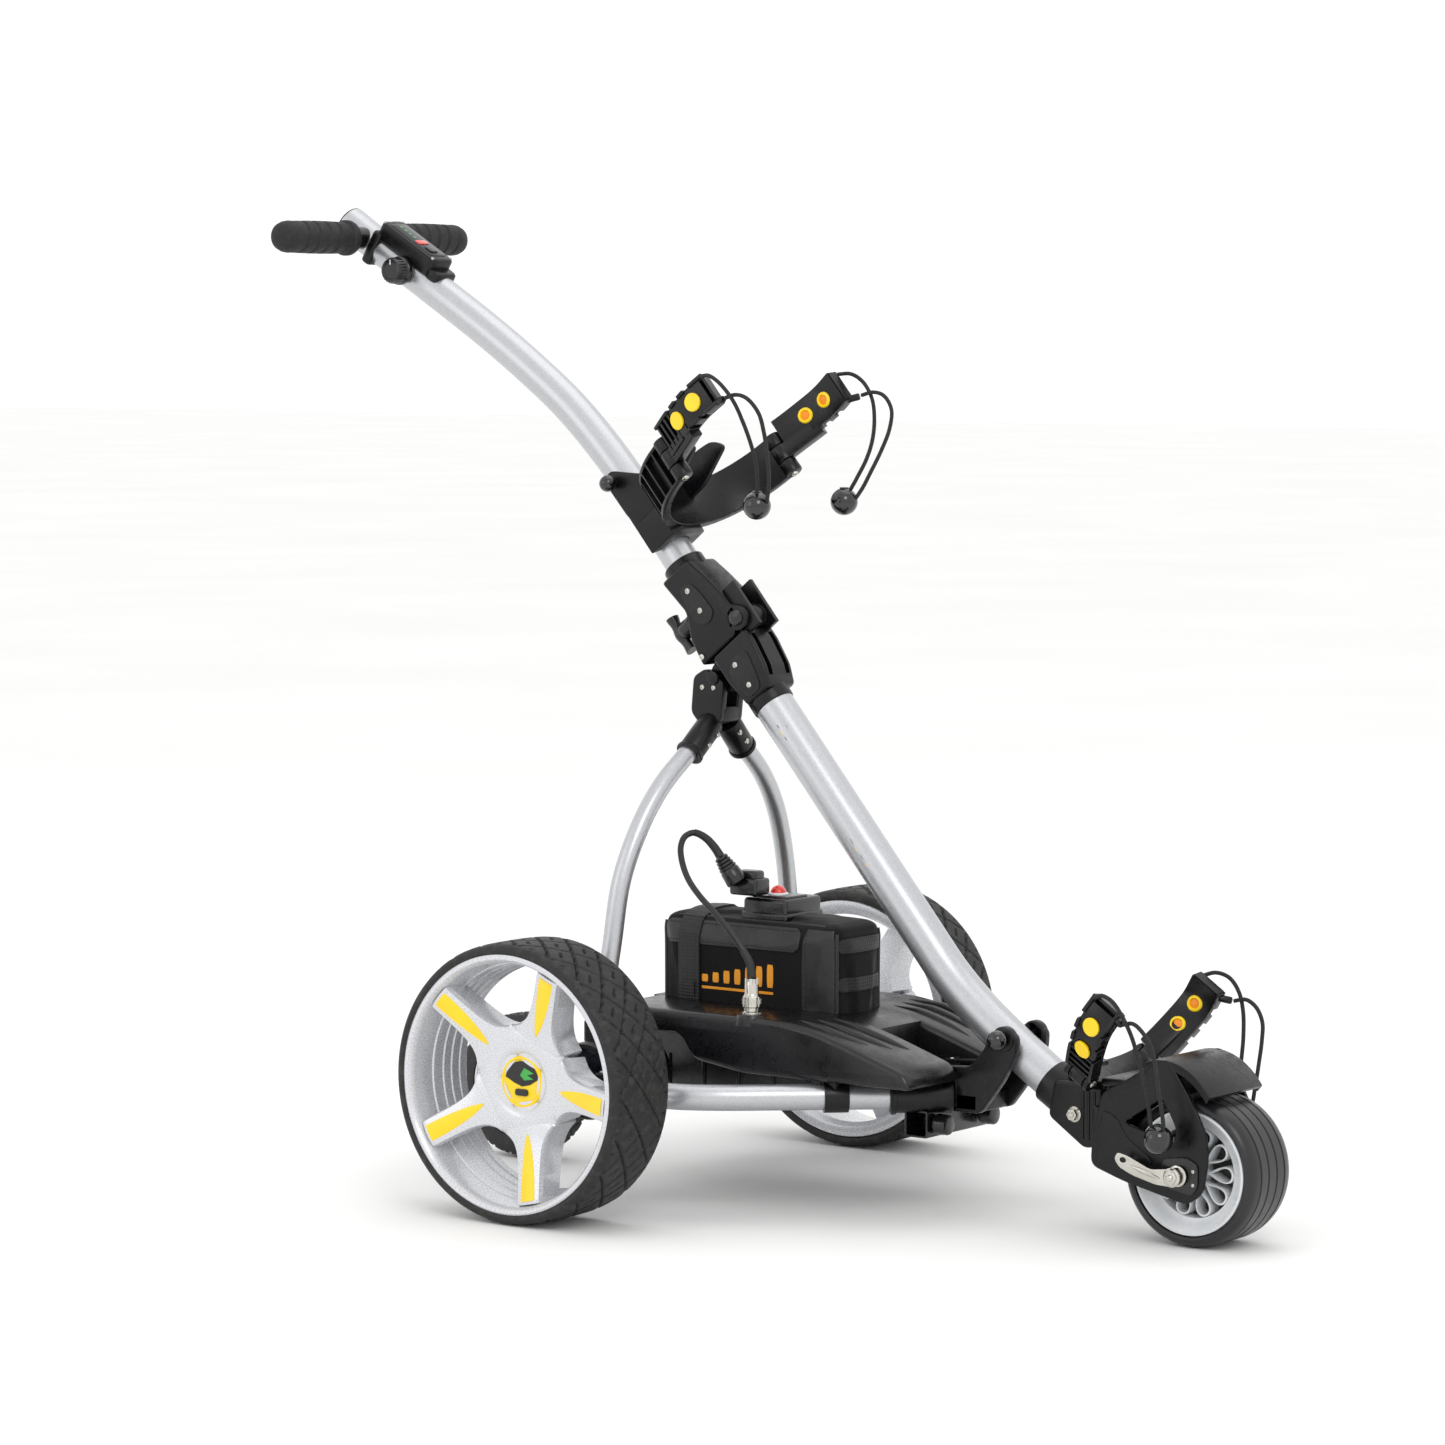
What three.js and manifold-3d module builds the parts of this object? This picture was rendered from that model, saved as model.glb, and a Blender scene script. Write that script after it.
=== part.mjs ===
// Electric golf trolley: three wheels, a folding handle, a bag cradle at each end of the main tube and a 12 V battery.
// Millimetres, +Z up. The trolley drives towards -Y, and its right-hand side is -X.
// The shapes are written in the axle frame (y = 0 on the rear axle line, z = 0 on the ground, x = 0 on the centre
// plane). The whole trolley is then moved along Y, so that it stands centred on the origin.
import * as THREE from "three";
import { mergeVertices } from "three/addons/utils/BufferGeometryUtils.js";
import { RoundedBoxGeometry } from "three/addons/geometries/RoundedBoxGeometry.js";
import Module from "manifold-3d";

const wasm = await Module();
wasm.setup();

// ---------- driving dimensions ----------
const GAP = 0.3; // clearance between pieces that touch
const AXLE_SHIFT_Y = 84.3; // centres the trolley's length on y = 0

const REAR_WHEEL = { radius: 128, width: 80, innerX: 227.5, beadRadius: 118, spokes: 5, spokeDepth: 33 };
const FRONT_WHEEL = { y: -549, z: 67, radius: 67, width: 72, rimRadius: 56.5 };
const ANTI_TIP = { y: 220, z: 72, radius: 69, width: 38, rimRadius: 50 };
const MOTOR = { z: 117, radius: 36, innerX: 99, outerX: 191 };
const TUBE = { lower: 19, upper: 17, chassis: 12, leg: 9, bar: 11 }; // outer radii
const WALL = 1.8; // tube wall
const FACET = 0.05; // slivers smaller than this are merged away
const LEG_STEPS = 9; // straight lengths along a bent tube
const CHASSIS_STEPS = 8;
const BUNGEE = { radius: 1.9, steps: 26 };

// The straight part of the main tube runs through the folding hinge: "down" runs along it towards the front
// wheel and "front" stands square to it, towards the bag.
const HINGE_TOP = new THREE.Vector3(0, 24, 578);
const DOWN = new THREE.Vector3(0, -0.637, -0.771).normalize();
const FRONT = new THREE.Vector3(0, DOWN.z, -DOWN.y);
const FOLD_PIN = { down: 78, front: 30, radius: 4 };
const SPLIT_DOWN = 90; // the two hinge shells part here
const HINGE_HALF_WIDTH = 22;
const COLLAR_RADIUS = 20.5;
const LOWER_COLLAR_DOWN = 156;
const Y_PIN = { down: 104, front: -29, radius: 4 };

const BATTERY = { halfWidth: 41, back: 30, front: -180, bottom: 92, top: 262 };
const TRAY = { halfWidth: 115, back: 38, top: 178, bottom: 87, wall: 3 };
const BRACKET_PIVOT = new THREE.Vector3(0, -352, 168);
const RECEIVER = { y: -272, z: 86, size: 25, wall: 2, halfLength: 50 };

const HANDLE_BAR = new THREE.Vector3(0, 412, 893);
const GRIP = { radius: 16, innerX: 32, outerX: 140 };

// ---------- materials ----------
const finish = (color, roughness, metalness) => new THREE.MeshStandardMaterial({ color, roughness, metalness });
const silver = finish("#c9cacc", 0.42, 0.8);
const steel = finish("#b9babd", 0.25, 1);
const black = finish("#1e1d22", 0.5, 0);
const rubber = finish("#2a292b", 0.85, 0);
const grey = finish("#4b4c50", 0.5, 0.1);
const white = finish("#e4e2dc", 0.45, 0);
const neoprene = finish("#0d0b0c", 0.9, 0);
const gloss = finish("#141416", 0.12, 0);
const cordBlack = finish("#161517", 0.7, 0);

// ---------- solids ----------
// A closed three.js geometry as a manifold solid. A profile turned the other way round gives faces that point
// inwards, and they are turned back here.
function solid(geometry) {
  const bare = geometry.index ? geometry.toNonIndexed() : geometry.clone();
  bare.deleteAttribute("normal");
  bare.deleteAttribute("uv");
  const merged = mergeVertices(bare, 1e-3);
  const vertProperties = new Float32Array(merged.attributes.position.array);
  const triVerts = new Uint32Array(merged.index.array);
  const made = new wasm.Manifold(new wasm.Mesh({ numProp: 3, vertProperties, triVerts }));
  if (made.volume() > 0) return made;
  for (let i = 0; i < triVerts.length; i += 3) triVerts.subarray(i, i + 3).reverse();
  return new wasm.Manifold(new wasm.Mesh({ numProp: 3, vertProperties, triVerts }));
}

// A manifold solid as a named mesh.
function piece(name, manifold, material) {
  const data = manifold.simplify(FACET).getMesh();
  const geometry = new THREE.BufferGeometry();
  geometry.setAttribute("position", new THREE.BufferAttribute(data.vertProperties, 3));
  geometry.setIndex(new THREE.BufferAttribute(data.triVerts, 1));
  geometry.computeVertexNormals();
  const mesh = new THREE.Mesh(geometry, material);
  mesh.name = name;
  return mesh;
}

const join = (...parts) => parts.reduce((whole, part) => whole.add(part));
const cut = (body, ...tools) => tools.reduce((rest, tool) => rest.subtract(tool), body);
const mirrored = (manifold) => manifold.mirror([1, 0, 0]);

// A box from its lowest and highest corners, with rounded edges where a radius is given.
function block(low, high, radius = 0) {
  const size = high.map((value, i) => value - low[i]);
  const shape = radius > 4 ? new RoundedBoxGeometry(...size, 1, radius) : new THREE.BoxGeometry(...size);
  shape.translate(...high.map((value, i) => (value + low[i]) / 2));
  return solid(shape);
}

// A round rod between two points.
function rod(from, to, radius, sides = 18, endRadius = radius) {
  const axis = new THREE.Vector3().subVectors(to, from);
  const shape = new THREE.CylinderGeometry(endRadius, radius, axis.length(), sides);
  shape.translate(0, axis.length() / 2, 0);
  const turn = new THREE.Quaternion().setFromUnitVectors(new THREE.Vector3(0, 1, 0), axis.normalize());
  shape.applyQuaternion(turn);
  shape.translate(from.x, from.y, from.z);
  return solid(shape);
}

const rodX = (x0, x1, y, z, radius, sides = 18) => rod(point(x0, y, z), point(x1, y, z), radius, sides);
const point = (x, y, z) => new THREE.Vector3(x, y, z);

// A point beside the main tube: down along it, out to its front, and across.
function onTube(x, down, front) {
  return HINGE_TOP.clone().addScaledVector(DOWN, down).addScaledVector(FRONT, front).setX(x);
}

// A ring section swept along a curve. With no inner radius it is a solid rod.
function pipe(curve, outer, inner, steps, sides = 20) {
  const section = new THREE.Shape();
  section.absarc(0, 0, outer, 0, 2 * Math.PI, false);
  if (inner > 0) {
    const bore = new THREE.Path();
    bore.absarc(0, 0, inner, 0, 2 * Math.PI, true);
    section.holes.push(bore);
  }
  const options = { steps, curveSegments: sides / 2, extrudePath: curve, bevelEnabled: false };
  return solid(new THREE.ExtrudeGeometry(section, options));
}

const spline = (...points) => new THREE.CatmullRomCurve3(points, false, "centripetal");

// An outline of [forward, up] pairs in the Y-Z plane, extruded across from x0 to x1.
function sidePlate(outline, x0, x1, holes = []) {
  const shape = new THREE.Shape(outline.map(([y, z]) => new THREE.Vector2(y, z)));
  holes.forEach((hole) => shape.holes.push(new THREE.Path(hole.map(([y, z]) => new THREE.Vector2(y, z)))));
  const geometry = new THREE.ExtrudeGeometry(shape, { depth: x1 - x0, bevelEnabled: false, curveSegments: 12 });
  geometry.applyMatrix4(new THREE.Matrix4().makeBasis(point(0, 1, 0), point(0, 0, 1), point(1, 0, 0)));
  geometry.translate(x0, 0, 0);
  return solid(geometry);
}

// An outline of [down, front] pairs beside the main tube, extruded across from x0 to x1.
function tubePlate(outline, x0, x1) {
  const flat = outline.map(([down, front]) => onTube(0, down, front));
  return sidePlate(flat.map((p) => [p.y, p.z]), x0, x1);
}

// A closed profile of [radius, x] pairs turned about the X axis through the origin.
function turned(profile, segments) {
  const geometry = new THREE.LatheGeometry(profile.map(([r, x]) => new THREE.Vector2(r, x)), segments);
  geometry.rotateZ(-Math.PI / 2);
  return solid(geometry);
}

// ---------- wheels (each about its own axle at the origin) ----------
function rearTyre() {
  const { radius, width, beadRadius } = REAR_WHEEL;
  const half = width / 2;
  const profile = [
    [beadRadius, -half + 3],
    [beadRadius, half - 3],
    [radius - 7, half],
    [radius - 1.5, half - 5],
    [radius, half - 14],
    [radius, -half + 14],
    [radius - 1.5, -half + 5],
    [radius - 7, -half],
    [beadRadius, -half + 3],
  ];
  return turned(profile, 36);
}

// Barrel, five spokes and hub. The outer side of the wheel is at +x here.
function rearRim() {
  const { width, beadRadius, spokes, spokeDepth } = REAR_WHEEL;
  const face = width / 2;
  const outer = beadRadius - GAP;
  const inner = outer - 4;
  const back = -width / 2 + 6;
  const barrel = turned([[inner, back], [inner, face - 3], [outer, face - 3], [outer, back], [inner, back]], 36);
  const wheel = [barrel, turned([[0, face - 48], [0, face - 26], [40, face - 22], [44, face - 48], [0, face - 48]], 24)];
  const hubSleeve = rodX(face - 78, face - 40, 0, 0, 16);
  wheel.push(hubSleeve);
  for (let i = 0; i < spokes; i++) {
    const angle = THREE.MathUtils.degToRad(24 + (360 / spokes) * i);
    const arm = [[-23, 30], [-15, inner + 1], [15, inner + 1], [23, 30]];
    const turn = arm.map(([s, r]) => [-r * Math.sin(angle) + s * Math.cos(angle), r * Math.cos(angle) + s * Math.sin(angle)]);
    wheel.push(sidePlate(turn.reverse(), face - 8 - spokeDepth, face - 8));
  }
  const cap = rodX(face - 30, face - 23, 0, 0, 23.5);
  const bore = rodX(face - 90, face - 50, 0, 0, 8 + GAP);
  return cut(join(...wheel, cap), bore);
}

function smallTyre({ radius, width, rimRadius }) {
  const half = width / 2;
  const profile = [
    [rimRadius, -half + 4],
    [rimRadius, half - 4],
    [radius - 8, half],
    [radius - 2.3, half - 3],
    [radius, half - 9],
    [radius, -half + 9],
    [radius - 2.3, -half + 3],
    [radius - 8, -half],
    [rimRadius, -half + 4],
  ];
  return turned(profile, 30);
}

// A rim with a dished web, petal windows and a bored hub.
function smallRim({ width, rimRadius }, petals, axleRadius) {
  const half = width / 2 - 4;
  const outer = rimRadius - GAP;
  const ring = turned([[outer - 6, -half], [outer - 6, half], [outer, half], [outer, -half], [outer - 6, -half]], 30);
  const web = rodX(-4, half - 8, 0, 0, outer - 5, 30);
  const hub = rodX(-half, half, 0, 0, 14);
  const windows = [];
  for (let i = 0; i < petals; i++) {
    const angle = (2 * Math.PI * (i + 0.5)) / petals;
    const middle = (outer + 14) / 2;
    windows.push(rodX(-half, half, middle * Math.sin(angle), middle * Math.cos(angle), 6.5, 6));
  }
  return cut(join(ring, web, hub), ...windows, rodX(-half - 1, half + 1, 0, 0, axleRadius + GAP));
}

// ---------- chassis ----------
const HOUSING_CLAMP = point(-184, -52, 111); // where a chassis tube enters its motor housing
const CROSS_MEMBER = { y: 50, z: 98, radius: 10, halfLength: 150 };

function chassisCurve() {
  return spline(point(-30, -288, 111), point(-78, -232, 111), point(-126, -176, 111), point(-166, -126, 111),
    point(-181, -94, 111), HOUSING_CLAMP);
}

function legCurve() {
  return spline(point(-27, -12, 424.5), point(-34, -11, 418), point(-79.6, -6, 382), point(-108, -2, 346),
    point(-130, 3, 297), point(-141, 5, 242), point(-149, 6, 200), point(-152, 6, 154));
}

function motorHousing() {
  const { z, radius, innerX, outerX } = MOTOR;
  const shell = rodX(-outerX, -innerX, 0, z, radius, 32);
  const clamp = block([-204, -66, 94], [-162, -20, 129], 3);
  const legSeat = block([-166, -9, z + radius - 6], [-138, 21, z + radius + 18], 3);
  const rearClamp = block([-156, 26, CROSS_MEMBER.z - 15], [-118, CROSS_MEMBER.y + 14, CROSS_MEMBER.z + 15], 3);
  const chamber = rodX(-outerX + 12, -innerX - 1 + 1.7, 0, z, radius - 6, 24);
  const axleHole = rodX(-outerX - 1, -outerX + 14, 0, REAR_WHEEL.radius, 8 + GAP);
  const tubeSeat = pipe(chassisCurve(), TUBE.chassis + GAP, 0, CHASSIS_STEPS, 16);
  const legBore = pipe(legCurve(), TUBE.leg + GAP, 0, LEG_STEPS, 14);
  const crossBore = rodX(-157, -110, CROSS_MEMBER.y, CROSS_MEMBER.z, CROSS_MEMBER.radius + GAP);
  return cut(join(shell, clamp, legSeat, rearClamp), chamber, axleHole, tubeSeat, legBore, crossBore);
}

function motor() {
  const { z, radius, innerX, outerX } = MOTOR;
  return rodX(-outerX + 16, -innerX - 1, 0, z, radius - 6 - GAP, 28);
}

function rearAxle() {
  const { radius, innerX, width } = REAR_WHEEL;
  return rodX(-innerX - width + 50 + GAP, -MOTOR.outerX + 12, 0, radius, 8);
}

// The bar behind the battery that joins the housings, with the welded arm and fork of the anti-tip wheel.
function antiTipArm() {
  const { y, z, halfLength, radius } = CROSS_MEMBER;
  const wheel = ANTI_TIP;
  const bar = rodX(-halfLength, halfLength, y, z, radius);
  const forkBack = y + 90;
  const stem = rod(point(0, y, z), point(0, forkBack + 4, 82), 10);
  const bridge = block([-30, forkBack - 2, 72], [30, forkBack + 6, 92], 2);
  const cheek = (side) => block([side - 2, forkBack - 2, 60], [side + 2, wheel.y + 12, 84], 1.5);
  const axle = rodX(-33, 33, wheel.y, wheel.z, 5);
  return join(bar, stem, bridge, cheek(-28), cheek(28), axle);
}

// Lower tube: straight from the hinge, then bent flatter to the front clamp.
function lowerCurve() {
  const line = new THREE.LineCurve3(onTube(0, 132, 0), point(0, -262, 234));
  const bend = new THREE.CubicBezierCurve3(point(0, -262, 234), point(0, -296, 192), point(0, -345, 159), point(0, -426, 105));
  const path = new THREE.CurvePath();
  path.add(line);
  path.add(bend);
  return path;
}

function upperCurve() {
  return spline(onTube(0, 36, 0), onTube(0, 20, 0), point(0, 26, 581), point(0, 68, 632), point(0, 112, 682),
    point(0, 161, 729), point(0, 210, 766), point(0, 262, 801), point(0, 337, 847), point(0, 414, 893), point(0, 438, 908));
}

// Two ears either side of the lower tube, a spine under it and two sockets for the chassis tubes.
function chassisBracket() {
  const outline = [[-253, 136], [-316, 140], [-332, 158], [-337, 172], [-351, 180], [-366, 171], [-365, 155],
    [-352, 130], [-340, 114], [-327, 97.5], [-253, 97.5]];
  const ears = join(sidePlate(outline.slice().reverse(), -29, -20.5), sidePlate(outline.slice().reverse(), 20.5, 29));
  const base = block([-29, -326, 97.5], [29, -258, 116]);
  const socket = rod(point(-24, -295, 111), point(-62, -250.5, 111), 15.5);
  const bore = pipe(chassisCurve(), TUBE.chassis + GAP, 0, CHASSIS_STEPS, 16);
  const pivotHole = rodX(-40, 40, BRACKET_PIVOT.y, BRACKET_PIVOT.z, 5 + GAP);
  const { y, z, size, halfLength } = RECEIVER;
  const reach = size / 2 + GAP;
  const receiverRoom = block([-halfLength - 1, y - reach, z - reach], [halfLength + 1, y + reach, z + reach]);
  return cut(join(ears, base, socket, mirrored(socket)), bore, mirrored(bore), pivotHole, receiverRoom);
}

function bracketPivotBolt() {
  const shank = rodX(-31, 34, BRACKET_PIVOT.y, BRACKET_PIVOT.z, 5);
  const ball = new THREE.SphereGeometry(9, 14, 8);
  ball.translate(-39, BRACKET_PIVOT.y, BRACKET_PIVOT.z);
  const nut = rodX(29 + GAP, 35, BRACKET_PIVOT.y, BRACKET_PIVOT.z, 8, 6);
  return join(shank, solid(ball), nut);
}

// Open square tube across the trolley for accessories.
function accessoryReceiver() {
  const { y, z, size, wall, halfLength } = RECEIVER;
  const h = size / 2;
  const outer = block([-halfLength, y - h, z - h], [halfLength, y + h, z + h]);
  const bore = block([-halfLength - 1, y - h + wall, z - h + wall], [halfLength + 1, y + h - wall, z + h - wall]);
  const screwHole = (x) => rod(point(x, y - h - 1, z), point(x, y - h + wall + 1, z), 3 + GAP, 12);
  return cut(outer, bore, screwHole(-38), screwHole(38));
}

function receiverKnob(x) {
  const { y, z, size } = RECEIVER;
  const face = y - size / 2;
  const shank = rod(point(x, face + 1, z), point(x, face - 5, z), 3, 12);
  const head = rod(point(x, face - 4, z), point(x, face - 17, z), 10, 16);
  return join(shank, head);
}

// ---------- battery and tray ----------
// The tray holds the battery in a deep pocket and spreads over the chassis tubes in two sloping lobes.
function batteryTray() {
  const { halfWidth, back, top, bottom, wall } = TRAY;
  const b = BATTERY;
  const skirt = [[back, 157], [back, top], [-163, top], [-205, 172], [-243, 161], [-300, 142], [-308, 126], [-236, 126],
    [-120, 126], [-66, 134], [-50, 157]];
  const body = sidePlate(skirt.slice().reverse(), -halfWidth, halfWidth);
  const hollow = sidePlate([[-80, 100], [-80, top - wall], [-163, top - wall], [-240, 158], [-240, 100]].reverse(),
    -halfWidth + wall, halfWidth - wall);
  const rearHollow = block([-halfWidth + wall, -81, 140], [halfWidth - wall, back - wall, top - wall]);
  const pocket = block([-b.halfWidth - 5, b.front - 6, bottom], [b.halfWidth + 5, back, top]);
  const pocketRoom = block([-b.halfWidth - 2, b.front - 3, bottom + wall], [b.halfWidth + 2, back - wall, top + 5]);
  const mainTube = block([-29.5, -320, 80], [29.5, -224, 200]);
  const corner = (side) => rod(point(side * 132, -352, 80), point(side * 132, -352, 200), 62, 32);
  const leg = pipe(legCurve(), TUBE.leg + 2, 0, LEG_STEPS, 10);
  const shell = join(cut(body, hollow, rearHollow), pocket);
  const boss = rod(point(-100, -124, 130), point(-100, -124, top + 2), 13);
  const seat = rod(point(-100, -124, top - 4), point(-100, -124, top + 5), 9);
  const socket = rod(point(-20, -300, 111), point(-64, -248, 111), 17.5);
  const tubes = join(pipe(chassisCurve(), TUBE.chassis + 2, 0, CHASSIS_STEPS, 10), socket);
  const corners = join(corner(-1), corner(1));
  return cut(join(shell, boss), seat, pocketRoom, mainTube, corners, leg, mirrored(leg), tubes, mirrored(tubes));
}

// The padded battery case with its socket box and round switch on top.
function batteryPack() {
  const { halfWidth, back, front, bottom, top } = BATTERY;
  const bag = block([-halfWidth, front, bottom], [halfWidth, back, top], 9);
  const socketBox = block([-29, -112, top - 12], [29, -62, top + 17], 3);
  const dome = new THREE.SphereGeometry(9, 14, 8);
  dome.translate(-8, -88, top + 17);
  return join(bag, socketBox, solid(dome));
}

const LEAD_ROUTE = [
  point(-100, -124, 214), point(-100, -122, 226), point(-101, -113, 240), point(-102, -100, 255), point(-102, -84, 270),
  point(-101, -66, 284), point(-98, -50, 299), point(-94, -40, 314), point(-88, -34, 327), point(-80, -33, 336),
  point(-71, -37, 339), point(-62, -43, 334), point(-56, -49, 325), point(-53, -55, 315),
];

function batteryLead() {
  return pipe(spline(...LEAD_ROUTE), 2.9, 0, 16, 8);
}

function leadPlug() {
  const last = LEAD_ROUTE[LEAD_ROUTE.length - 1];
  const along = point(3, -6, -10).normalize();
  const start = last.clone().addScaledVector(along, GAP);
  const body = rod(start, start.clone().addScaledVector(along, 26), 7, 16, 10);
  const socketEnd = block([-44, -88, BATTERY.top + 18], [-19, -56, BATTERY.top + 34], 3);
  return join(body, socketEnd);
}

function leadConnector() {
  const base = TRAY.top - 4 + GAP;
  const nut = rod(point(-100, -124, base), point(-100, -124, base + 22), 8.7, 20);
  const gland = rod(point(-100, -124, base + 22), point(-100, -124, 213), 6, 16, 4.5);
  return join(nut, gland);
}

// ---------- folding hinge ----------
const knuckle = (x0, x1, radius) => {
  const { down, front } = FOLD_PIN;
  return rod(onTube(x0, down, front), onTube(x1, down, front), radius, 20);
};

function hingeUpperShell(tube) {
  const body = tubePlate([[0, -19], [0, 19], [25, 26], [49, 31], [63, 31], [68, 38], [SPLIT_DOWN, 17], [SPLIT_DOWN, -30], [62, -26],
    [38, -14]], -HINGE_HALF_WIDTH, HINGE_HALF_WIDTH);
  const collar = rod(onTube(0, -8, 0), onTube(0, 20, 0), COLLAR_RADIUS);
  const stop = join(knuckle(-23, -8 - GAP, 13), knuckle(8 + GAP, 23, 13));
  const knobHole = rod(onTube(0, 43, -50), onTube(0, 43, -12), 4 + GAP, 14);
  const upper = cut(join(body, collar), stop, lowerSweep());
  return cut(join(upper, knuckle(-8, 8, 12)), tube, knuckle(-30, 30, FOLD_PIN.radius + GAP), knobHole);
}

// Room for the lower shell's knuckles in front of the upper shell's flat face.
function lowerSweep() {
  const low = (x0, x1) => tubePlate([[72, 20], [72, 50], [110, 50], [110, 20]], x0, x1);
  return join(low(-24, -8 - GAP), low(8 + GAP, 24));
}

function hingeLowerShell(tube) {
  const top = SPLIT_DOWN + GAP;
  const body = tubePlate([[top, -17], [top, 31], [105, 31], [132, 27], [150, 19], [150, -12], [120, -17]],
    -HINGE_HALF_WIDTH, HINGE_HALF_WIDTH);
  const lug = tubePlate([[top, -30], [top, -10], [126, -10], [122, -30], [112, -40], [98, -40]], -8, 8);
  const collar = rod(onTube(0, 136, 0), onTube(0, LOWER_COLLAR_DOWN + 4, 0), COLLAR_RADIUS);
  const slot = join(knuckle(-8 - GAP, 8 + GAP, 13), tubePlate([[60, 17], [60, 50], [92, 50], [92, 17]], -8 - GAP, 8 + GAP));
  const web = tubePlate([[83, 20], [83, 31], [96, 31], [96, 20]], -HINGE_HALF_WIDTH, HINGE_HALF_WIDTH);
  const ears = join(knuckle(-22, -8 - 2 * GAP, 12), knuckle(8 + 2 * GAP, 22, 12));
  const pinHole = knuckle(-30, 30, FOLD_PIN.radius + GAP);
  const yHole = rod(onTube(-30, Y_PIN.down, Y_PIN.front), onTube(30, Y_PIN.down, Y_PIN.front), Y_PIN.radius + GAP, 16);
  return cut(join(body, lug, collar, web, ears), slot, tube, pinHole, yHole);
}

function hingePin() {
  const { down, front, radius } = FOLD_PIN;
  const shank = rod(onTube(-25, down, front), onTube(25, down, front), radius);
  const head = (side) => rod(onTube(side * (23 + GAP), down, front), onTube(side * 26, down, front), 7.5);
  return join(shank, head(-1), head(1));
}

// T-shaped clamp handle behind the upper shell.
function hingeKnob() {
  const shank = rod(onTube(0, 43, -13), onTube(0, 43, -40), 4, 14);
  const hub = rod(onTube(0, 43, -24), onTube(0, 43, -44), 9, 20);
  const bar = rod(onTube(0, 24, -43), onTube(0, 62, -43), 6.5, 14);
  return join(shank, hub, bar);
}

// Forked casting that carries both rear legs on one pin.
function yConnector() {
  const pin = (x0, x1, r) => rod(onTube(x0, Y_PIN.down, Y_PIN.front), onTube(x1, Y_PIN.down, Y_PIN.front), r, 20);
  const fork = sidePlate([[-31, 476], [-10, 488], [4, 480], [7, 446], [-6, 432], [-27, 437]].reverse(), -18, 18);
  const slot = tubePlate([[80, -60], [80, 30], [127, 30], [127, -60]], -8 - GAP, 8 + GAP);
  const shellRoom = tubePlate([[70, -18.5], [70, 40], [160, 40], [160, -13], [125, -15.5]], -40, 40);
  const sleeve = rod(point(-12, -13.5, 437), point(-43, -10, 409), 12.5, 24);
  const bore = pipe(legCurve(), TUBE.leg + GAP, 0, LEG_STEPS, 14);
  const body = cut(join(fork, sleeve, mirrored(sleeve)), slot, shellRoom);
  return cut(join(body, pin(-21, 21, Y_PIN.radius)), bore, mirrored(bore));
}

// ---------- bag supports ----------
// A cradle is a U-shaped band around the bag. It stands square to the tube's direction at its place.
const UPPER_SUPPORT = { origin: point(0, 57, 619), down: DOWN, bolt: [87, 105], arch: 88, tip: [105, 190], half: 22,
  blade: [-32, 2] };
const CLAMP_TOP = 135;
const LOWER_DOWN = point(0, -0.829, -0.559);
const LOWER_SUPPORT = { origin: point(0, -424, 107), down: LOWER_DOWN, bolt: [55, 50], arch: 69, tip: [88, 134], half: 14,
  blade: [-16, 16] };

// Turns an outline of [across, front] pairs into a plate that reaches from one place along the tube to another.
function crossPlate({ origin, down }, outline, from, to) {
  const shape = new THREE.Shape(outline.map(([x, front]) => new THREE.Vector2(x, front)));
  const geometry = new THREE.ExtrudeGeometry(shape, { depth: to - from, bevelEnabled: false });
  const front = point(0, down.z, -down.y);
  geometry.translate(0, 0, from);
  geometry.applyMatrix4(new THREE.Matrix4().makeBasis(point(1, 0, 0), front, down));
  geometry.translate(origin.x, origin.y, origin.z);
  return solid(geometry);
}

function supportPoint({ origin, down }, x, front, along) {
  const out = point(0, down.z, -down.y);
  return origin.clone().addScaledVector(down, along).addScaledVector(out, front).setX(x);
}

// The outline of a band of constant thickness along an arc or a curve of [across, front] points.
function band(points, thickness) {
  const curve = new THREE.CatmullRomCurve3(points.map(([x, front]) => point(x, front, 0)), false, "centripetal");
  const left = [];
  const right = [];
  const steps = 6;
  for (let i = 0; i <= steps; i++) {
    const p = curve.getPoint(i / steps);
    const t = curve.getTangent(i / steps);
    left.push([p.x - (t.y * thickness) / 2, p.y + (t.x * thickness) / 2]);
    right.unshift([p.x + (t.y * thickness) / 2, p.y - (t.x * thickness) / 2]);
  }
  return [...right, ...left];
}

const ARM_THICKNESS = 13;

// Points of the U from one bolt to the other, with its lowest point in front of the tube.
function cradleLine({ bolt, arch }, floor) {
  const sweep = Math.asin(Math.min(1, bolt[0] / arch));
  const line = [];
  for (let i = -3; i <= 3; i++) {
    const angle = (sweep * i) / 3;
    line.push([arch * Math.sin(angle), floor + (bolt[1] - floor) * ((1 - Math.cos(angle)) / (1 - Math.cos(sweep)))]);
  }
  return line;
}

function cradle(support, floor) {
  const body = crossPlate(support, band(cradleLine(support, floor), 9), -support.half, support.half);
  const boss = (side) => rod(supportPoint(support, side * support.bolt[0], support.bolt[1], -support.half),
    supportPoint(support, side * support.bolt[0], support.bolt[1], support.half), 9, 12);
  const middle = (side) => rod(supportPoint(support, side * support.bolt[0], support.bolt[1], -8 - GAP),
    supportPoint(support, side * support.bolt[0], support.bolt[1], 8 + GAP), 11, 10);
  const bolt = (side) => rod(supportPoint(support, side * support.bolt[0], support.bolt[1], -support.half),
    supportPoint(support, side * support.bolt[0], support.bolt[1], support.half), 3.5, 8);
  const forks = cut(join(body, boss(-1), boss(1)), middle(-1), middle(1));
  return join(forks, bolt(-1), bolt(1));
}

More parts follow.
